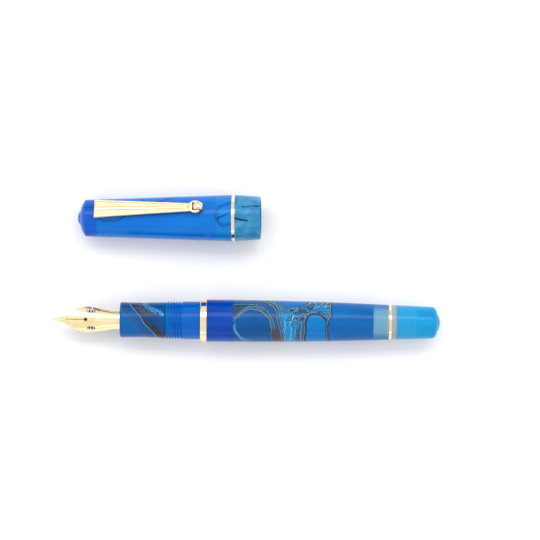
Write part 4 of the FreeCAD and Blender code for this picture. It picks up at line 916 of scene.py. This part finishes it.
SEGMENTS = 192
HALF_PLANE = math.radians(200)
TOUCHING = 0.002
STRAIGHT = 0.006
SHARP_TURN = math.radians(30)
EDGE_ROUND = 0.07
ROUND_SHARE = 0.3
EDGE_RUN = 1.4
MOST_UNEVEN = 5
LONGEST_ARC_STEP = 0.5
FEWEST_ARC_STEPS = 3
THREAD_PITCH = 0.95
THREAD_STARTS = 3
THREAD_LENGTH = 5.48
THREAD_LEAD_IN = 0.4
THREAD_DEPTH = 0.38
GROOVE_MOUTH = 0.35
GROOVE_BOTTOM = 0.12
THREAD_FADE = 0.3
THREAD_STEP = 0.06
CREST_SHARE = 0.97
ROOT_SHARE = 0.87
SLOT_GAP = 0.3
BODY_OF = {
    node: body
    for body, nodes in frame["record"]["behaviour"]["bodies"].items()
    for node in nodes
}
SLOT_OF = {row["node"]: row["material_slot"] for row in frame["record"]["subparts"]}


def half_section(node, axes):
    """The outline of a turned CAD node on one side of its axis, as (along, radius) in millimetres.

    The node is cut by a half plane through its axis, and the cut is followed from end to end. A
    piece that doesn't reach its axis gives a closed outline, whose ends meet.
    """
    cut = bmesh.new()
    cut.from_mesh(NODES[node].data)
    cut.transform(Matrix.Rotation(-HALF_PLANE, 4, "X") @ axes.inverted())
    bmesh.ops.remove_doubles(cut, verts=cut.verts, dist=TOUCHING / 2)
    for direction in ((0, 1, 0), (0, 0, 1)):
        found = bmesh.ops.bisect_plane(
            cut,
            geom=cut.verts[:] + cut.edges[:] + cut.faces[:],
            dist=TOUCHING / 10,
            plane_co=(0, 0, 0),
            plane_no=direction,
            clear_inner=True,
        )["geom_cut"]
    links = {}
    for item in found:
        if isinstance(item, bmesh.types.BMEdge) and item.calc_length() > TOUCHING / 10:
            first, second = (vertex.index for vertex in item.verts)
            links.setdefault(first, []).append(second)
            links.setdefault(second, []).append(first)
    cut.verts.ensure_lookup_table()
    start = min(links, key=lambda index: (len(links[index]), cut.verts[index].co.x))
    chain, seen = [start], {start}
    while ahead := [index for index in links[chain[-1]] if index not in seen]:
        chain.append(ahead[0])
        seen.add(ahead[0])
    closed = len(links[start]) > 1
    outline = [np.array(cut.verts[index].co[:2]) for index in chain]
    cut.free()
    return outline, closed


def thinned(outline):
    """Leave out the points that lie on a straight run between the others."""
    if len(outline) < 3:
        return outline
    start, end = outline[0], outline[-1]
    run = end - start
    length = np.hypot(*run)
    if length < TOUCHING:
        away = [np.hypot(*(point - start)) for point in outline]
    else:
        away = [
            abs(run[0] * (point[1] - start[1]) - run[1] * (point[0] - start[0])) / length
            for point in outline
        ]
    far = int(np.argmax(away))
    if away[far] < STRAIGHT:
        return [start, end]
    return thinned(outline[: far + 1])[:-1] + thinned(outline[far:])


def turn_at(before, here, after):
    first, second = here - before, after - here
    return abs(
        math.atan2(first[0] * second[1] - first[1] * second[0], float(np.dot(first, second)))
    )


def neighbours(outline, closed):
    """Each point with the one before and the one after. An open outline's ends have only one."""
    count = len(outline)
    for place, here in enumerate(outline):
        before = outline[place - 1] if closed or place > 0 else None
        after = outline[(place + 1) % count] if closed or place < count - 1 else None
        yield before, here, after


def curved(outline, closed):
    """Put more points on the runs that turn gently, so that an arc is round."""
    gentle = [
        before is not None
        and after is not None
        and turn_at(before, here, after) < SHARP_TURN
        and 1 / MOST_UNEVEN < np.hypot(*(after - here)) / np.hypot(*(here - before)) < MOST_UNEVEN
        for before, here, after in neighbours(outline, closed)
    ]
    count = len(outline)
    points = []
    for place in range(count if closed else count - 1):
        here, there = outline[place], outline[(place + 1) % count]
        points.append(here)
        if not (gentle[place] or gentle[(place + 1) % count]):
            continue
        ahead = there - here
        before = outline[place - 1] if gentle[place] else here - ahead
        after = outline[(place + 2) % count] if gentle[(place + 1) % count] else there + ahead
        steps = max(FEWEST_ARC_STEPS, math.ceil(np.hypot(*ahead) / LONGEST_ARC_STEP))
        for step in range(1, steps):
            share = step / steps
            leaving, arriving = (there - before) / 2, (after - here) / 2
            points.append(
                (2 * share**3 - 3 * share**2 + 1) * here
                + (share**3 - 2 * share**2 + share) * leaving
                + (3 * share**2 - 2 * share**3) * there
                + (share**3 - share**2) * arriving
            )
    if not closed:
        points.append(outline[-1])
    return points


def softened(outline, closed):
    """Round each sharp corner a little, with a short straight run on both sides of the rounding."""
    points = []
    for before, here, after in neighbours(outline, closed):
        if before is None or after is None or turn_at(before, here, after) < SHARP_TURN:
            points.append(here)
            continue
        back, ahead = before - here, after - here
        lengths = np.hypot(*back), np.hypot(*ahead)
        reach = min(EDGE_ROUND, ROUND_SHARE * min(lengths))
        back, ahead = back / lengths[0], ahead / lengths[1]
        points.append(here + back * reach * EDGE_RUN)
        for share in (0.0, 0.25, 0.5, 0.75, 1.0):
            points.append(here + back * reach * (1 - share) ** 2 + ahead * reach * share**2)
        points.append(here + ahead * reach * EDGE_RUN)
    return points


def revolved(name, outline, closed, axes, radius_at=None):
    """A turned mesh from an outline. radius_at may change the radius by place and angle."""
    mesh = bmesh.new()
    circles = []
    for along, radius in outline:
        if radius < TOUCHING:
            circles.append([mesh.verts.new((along, 0, 0))] * SEGMENTS)
            continue
        circle = []
        for number in range(SEGMENTS):
            angle = 2 * math.pi * number / SEGMENTS
            reach = radius_at(along, angle, radius) if radius_at else radius
            circle.append(mesh.verts.new((along, reach * math.cos(angle), reach * math.sin(angle))))
        circles.append(circle)
    for first, second in zip(circles, circles[1:] + (circles[:1] if closed else [])):
        for number in range(SEGMENTS):
            after = (number + 1) % SEGMENTS
            corners = [first[number], first[after], second[after], second[number]]
            corners = list(dict.fromkeys(corners))
            if len(corners) >= 3:
                mesh.faces.new(corners)
    bmesh.ops.recalc_face_normals(mesh, faces=mesh.faces)
    return finished(name, mesh, axes)


def finished(name, mesh, axes):
    """Turn a bmesh in a piece's own millimetres into an object, smooth but for its sharp edges."""
    mesh.transform(axes)
    if axes.determinant() < 0:
        bmesh.ops.reverse_faces(mesh, faces=mesh.faces)
    data = bpy.data.meshes.new(name)
    mesh.to_mesh(data)
    mesh.free()
    data.shade_smooth()
    data.set_sharp_from_angle(angle=SHARP_TURN)
    piece = bpy.data.objects.new(name, data)
    bpy.context.scene.collection.objects.link(piece)
    return piece


def stand_for(piece, node):
    """Show a piece instead of its CAD node: same body, same material slot."""
    piece.data.materials.append(FINISHES[SLOT_OF[node]])
    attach(piece, BODY_OF[node])
    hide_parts(node)


def outline_of(node, axes):
    """A turned CAD node's outline without the points that its straight runs don't need."""
    outline, closed = half_section(node, axes)
    if closed:
        far = max(range(len(outline)), key=lambda place: np.hypot(*(outline[place] - outline[0])))
        outline = thinned(outline[: far + 1])[:-1] + thinned(outline[far:] + outline[:1])[:-1]
    else:
        outline = thinned(outline)
    return outline, closed


def turned_piece(node, axes):
    outline, closed = outline_of(node, axes)
    return revolved(node + "_turned", softened(curved(outline, closed), closed), closed, axes)


def thread_radius(front, rear):
    """Radius of the cap thread: three grooves, each winding once in three pitches."""
    inner = radius_of("front_sleeve") * CREST_SHARE

    def radius_at(along, angle, radius):
        if not front <= along <= rear or radius < inner:
            return radius
        phase = (along / THREAD_PITCH - THREAD_STARTS * angle / (2 * math.pi)) % 1.0
        away = abs(phase - 0.5) * THREAD_PITCH
        share = (GROOVE_MOUTH - away) / (GROOVE_MOUTH - GROOVE_BOTTOM)
        share = min(max(share, 0.0), 1.0)
        share = share * share * (3 - 2 * share)
        fade = min(1.0, (along - front) / THREAD_FADE, (rear - along) / THREAD_FADE)
        return radius - THREAD_DEPTH * share * fade

    return radius_at


def threaded_sleeve():
    """The front sleeve, with its cap thread as three real grooves instead of their outline."""
    outline, closed = outline_of("front_sleeve", PEN)
    front = front_of("front_sleeve") + THREAD_LEAD_IN
    rear = front + THREAD_LENGTH
    inner = radius_of("front_sleeve") * ROOT_SHARE
    on_thread = [
        front - TOUCHING < along < rear + TOUCHING and radius > inner for along, radius in outline
    ]
    crest = max(radius for (along, radius), found in zip(outline, on_thread) if found)
    first = on_thread.index(True)
    if on_thread[0]:
        raise RuntimeError("the sleeve's outline starts on its thread")
    count = sum(on_thread)
    steps = round((rear - front) / THREAD_STEP)
    line = [np.array((front + (rear - front) * step / steps, crest)) for step in range(steps + 1)]
    if outline[first - 1][0] > rear:
        line.reverse()
    if any(on_thread[first + count :]):
        raise RuntimeError("the sleeve's thread isn't one run of its outline")
    before, after = outline[:first], outline[first + count :]
    points = softened(before + [line[0], line[-1]] + after, closed)
    places = [
        place
        for place, point in enumerate(points)
        if np.hypot(*(point - line[1])) < THREAD_LENGTH and point[1] > crest - TOUCHING
    ]
    points[places[0] + 1 : places[-1]] = line[2:-2]
    return revolved("front_sleeve_turned", points, closed, PEN, thread_radius(front, rear))


def block(low, high):
    mesh = bmesh.new()
    bmesh.ops.create_cube(mesh, size=1.0)
    for vertex in mesh.verts:
        for axis in range(3):
            vertex.co[axis] = high[axis] if vertex.co[axis] > 0 else low[axis]
    return mesh


def carve(piece, cutter):
    """Cut one mesh out of another for good, and drop the cutter."""
    cut = piece.modifiers.new("cut", "BOOLEAN")
    cut.operation = "DIFFERENCE"
    cut.solver = "EXACT"
    cut.object = cutter
    seen = bpy.context.evaluated_depsgraph_get()
    carved = bpy.data.meshes.new_from_object(piece.evaluated_get(seen))
    piece.modifiers.clear()
    carved.name = piece.data.name + "_cut"
    piece.data = carved
    carved.shade_smooth()
    carved.set_sharp_from_angle(angle=SHARP_TURN)
    bpy.data.objects.remove(cutter)


def slotted_cap():
    """The cap, turned and then slotted for the clip's tab."""
    cap = turned_piece("cap_tube", CAP)
    arm = np.array([CAP.inverted() @ Vector(place) for place in places_of("clip_arm")])
    wall = radius_of_cap_end()
    tab = arm[arm[:, 2] < wall]
    low, high = tab.min(0) - SLOT_GAP, tab.max(0) + SLOT_GAP
    high[2] = wall * 2
    carve(cap, finished("clip_slot", block(low, high), CAP))
    return cap


def radius_of_cap_end():
    """Radius of the cap's bore, where the clip's retainer fills it."""
    places = np.array([CAP.inverted() @ Vector(place) for place in places_of("clip_retainer")])
    return float(np.hypot(places[:, 1], places[:, 2]).max())


def make_turned_pieces():
    for node in ("grip_section", "centre_ring", "barrel_collar", "barrel", "tail_ring", "blind_cap"):
        stand_for(turned_piece(node, PEN), node)
    stand_for(threaded_sleeve(), "front_sleeve")
    stand_for(turned_piece("cap_band", CAP), "cap_band")
    stand_for(slotted_cap(), "cap_tube")
    roller_frame = frame_at(middle_of("clip_roller"), CLIP_ACROSS, CAP_AXIS)
    for node in ("clip_roller", "roller_axle"):
        stand_for(turned_piece(node, roller_frame), node)


# ------------------------------------------------------------------------------ raised lines

BEAD_SIDES = 12
ABOVE_ALL = 40.0
EDGE_STEP = 0.02
LINE_POINTS = 60

RIM_INSET = 0.26
RIM_WIDE = 0.24
RIM_HIGH = 0.13
RIM_THINNING = 0.4
RIDGE_WIDE = 0.62
RIDGE_HIGH = 0.17
RIDGE_INSET = 0.5
RIDGE_OVERRUN = 1.0
RIDGE_THINNING = 0.45
RIDGE_START = 0.25
RIDGE_GROWTH = 11.8
FORK_LENGTH = 4.2

ENGRAVING_WIDE = 0.055
ENGRAVING_HIGH = 0.03
BORDER_GAP = 0.3
BORDER_END = 15.9
TINE_LINE = (5.0, 9.5)
TINE_SLOPE = 0.55 / 6
BORDER_INSET = 0.75
CURL_TURNS = 1.15
CURL_TIGHTENING = 0.75
CURLS = (((14.6, 1.25), math.pi, 0.85), ((17.2, 1.2), 0.0, 0.8), ((19.8, 1.1), math.pi, 0.75))
OVAL_MIDDLE = 18.4
OVAL_HALF = (3.4, 0.42)


def surface_of(node, axes):
    """A function giving the height of a CAD node's upper side at (x, y) in a piece's own frame."""
    data = NODES[node].data
    to_local = axes.inverted()
    places = [to_local @ vertex.co for vertex in data.vertices]
    tree = BVHTree.FromPolygons(places, [face.vertices[:] for face in data.polygons])

    def height_at(x, y):
        hit = tree.ray_cast(Vector((x, y, ABOVE_ALL)), Vector((0, 0, -1)))[0]
        return hit.z if hit else None

    return height_at


def edge_at(height_at, x, side):
    """How far the upper side reaches across at x, towards one side."""
    reach = EDGE_STEP
    while height_at(x, side * reach) is not None:
        reach += EDGE_STEP
    return side * (reach - EDGE_STEP)


def along_line(start, end, count=LINE_POINTS):
    """Evenly spaced places from start to end, each with its share of the way."""
    for number in range(count):
        share = number / (count - 1)
        yield start + (end - start) * share, share


def bead(mesh, points, wide, high):
    """Add a low rounded bead along points, wide and high in half sizes at each point."""
    circles = []
    for place, here in enumerate(points):
        before, after = points[max(place - 1, 0)], points[min(place + 1, len(points) - 1)]
        side = (after - before).cross(Vector((0, 0, 1))).normalized()
        circle = []
        for number in range(BEAD_SIDES):
            angle = 2 * math.pi * number / BEAD_SIDES
            offset = side * wide[place] * math.cos(angle)
            offset.z += high[place] * math.sin(angle)
            circle.append(mesh.verts.new(here + offset))
        circles.append(circle)
    for first, second in zip(circles, circles[1:]):
        for number in range(BEAD_SIDES):
            after = (number + 1) % BEAD_SIDES
            mesh.faces.new((first[number], first[after], second[after], second[number]))
    for end in (circles[0], circles[-1]):
        mesh.faces.new(end)


def add_bead(name, lines, height_at, axes, wide, high, node):
    """Beads along lines of (x, y, share of full size), laid on a CAD node's upper side."""
    mesh = bmesh.new()
    for line in lines:
        laid = [(x, y, share, height_at(x, y)) for x, y, share in line]
        points = [Vector((x, y, height)) for x, y, _, height in laid if height is not None]
        shares = [share for _, _, share, height in laid if height is not None]
        if len(points) > 1:
            bead(mesh, points, [wide * share for share in shares], [high * share for share in shares])
    bmesh.ops.recalc_face_normals(mesh, faces=mesh.faces)
    piece = finished(name, mesh, axes)
    piece.data.materials.append(FINISHES[SLOT_OF[node]])
    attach(piece, BODY_OF[node])


def make_clip_relief():
    """The clip's raised rim and the rounded ridge along its middle."""
    height_at = surface_of("clip_arm", CAP)
    arm = np.array([CAP.inverted() @ Vector(place) for place in places_of("clip_arm")])
    start = arm[:, 0].min() + RIM_INSET
    end = (CAP.inverted() @ middle_of("clip_roller")).x - FORK_LENGTH
    rims = [
        [
            (x, edge_at(height_at, x, side) - side * RIM_INSET, 1.0 - RIM_THINNING * share)
            for x, share in along_line(start, end)
        ]
        for side in (-1, 1)
    ]
    corners = [rim[0][1] for rim in rims]
    rims.append([(start, y, 1.0) for y, _ in along_line(*corners, count=21)])
    ridge = [
        (x, 0.0, min(1.0, RIDGE_START + RIDGE_GROWTH * share) * (1.0 - RIDGE_THINNING * share))
        for x, share in along_line(start + RIDGE_INSET, end + RIDGE_OVERRUN)
    ]
    add_bead("clip_rim", rims, height_at, CAP, RIM_WIDE, RIM_HIGH, "clip_arm")
    add_bead("clip_ridge", [ridge], height_at, CAP, RIDGE_WIDE, RIDGE_HIGH, "clip_arm")


def curl(middle, turn, size, side):
    """A generic curl that winds inwards round a middle, mirrored by side."""
    line = []
    for share, _ in along_line(0.0, 1.0, count=40):
        angle = 2 * math.pi * CURL_TURNS * share + turn
        reach = size * (1 - CURL_TIGHTENING * share)
        x = middle[0] + reach * math.cos(angle)
        y = side * (middle[1] + reach * math.sin(angle))
        line.append((x, y, 0.5 + 0.5 * math.sin(math.pi * share)))
    return line


def make_nib_relief():
    """A generic ornament on the nib: a border inside its edges, curls, and a small oval."""
    height_at = surface_of("nib", PEN)
    front = rear_of("nib_tipping")
    rear = front_of("grip_section") - BORDER_GAP
    lines = []
    for side in (-1, 1):
        lines.append(
            [
                (x, edge_at(height_at, x, side) - side * BORDER_INSET, 1.0)
                for x, _ in along_line(rear, BORDER_END)
            ]
        )
        lines += [curl(middle, turn, size, side) for middle, turn, size in CURLS]
        lines.append(
            [
                (front + ahead, side * TINE_SLOPE * ahead, 1.0)
                for ahead, _ in along_line(*TINE_LINE, count=30)
            ]
        )
    lines.append(
        [
            (OVAL_MIDDLE + OVAL_HALF[0] * math.cos(angle), OVAL_HALF[1] * math.sin(angle), 1.0)
            for angle, _ in along_line(0.0, 2 * math.pi, count=61)
        ]
    )
    add_bead("nib_ornament", lines, height_at, PEN, ENGRAVING_WIDE, ENGRAVING_HIGH, "nib")


make_camera()
make_light()
make_floor()
FINISHES = make_finishes()
dress_nodes()
make_turned_pieces()
make_clip_relief()
make_nib_relief()
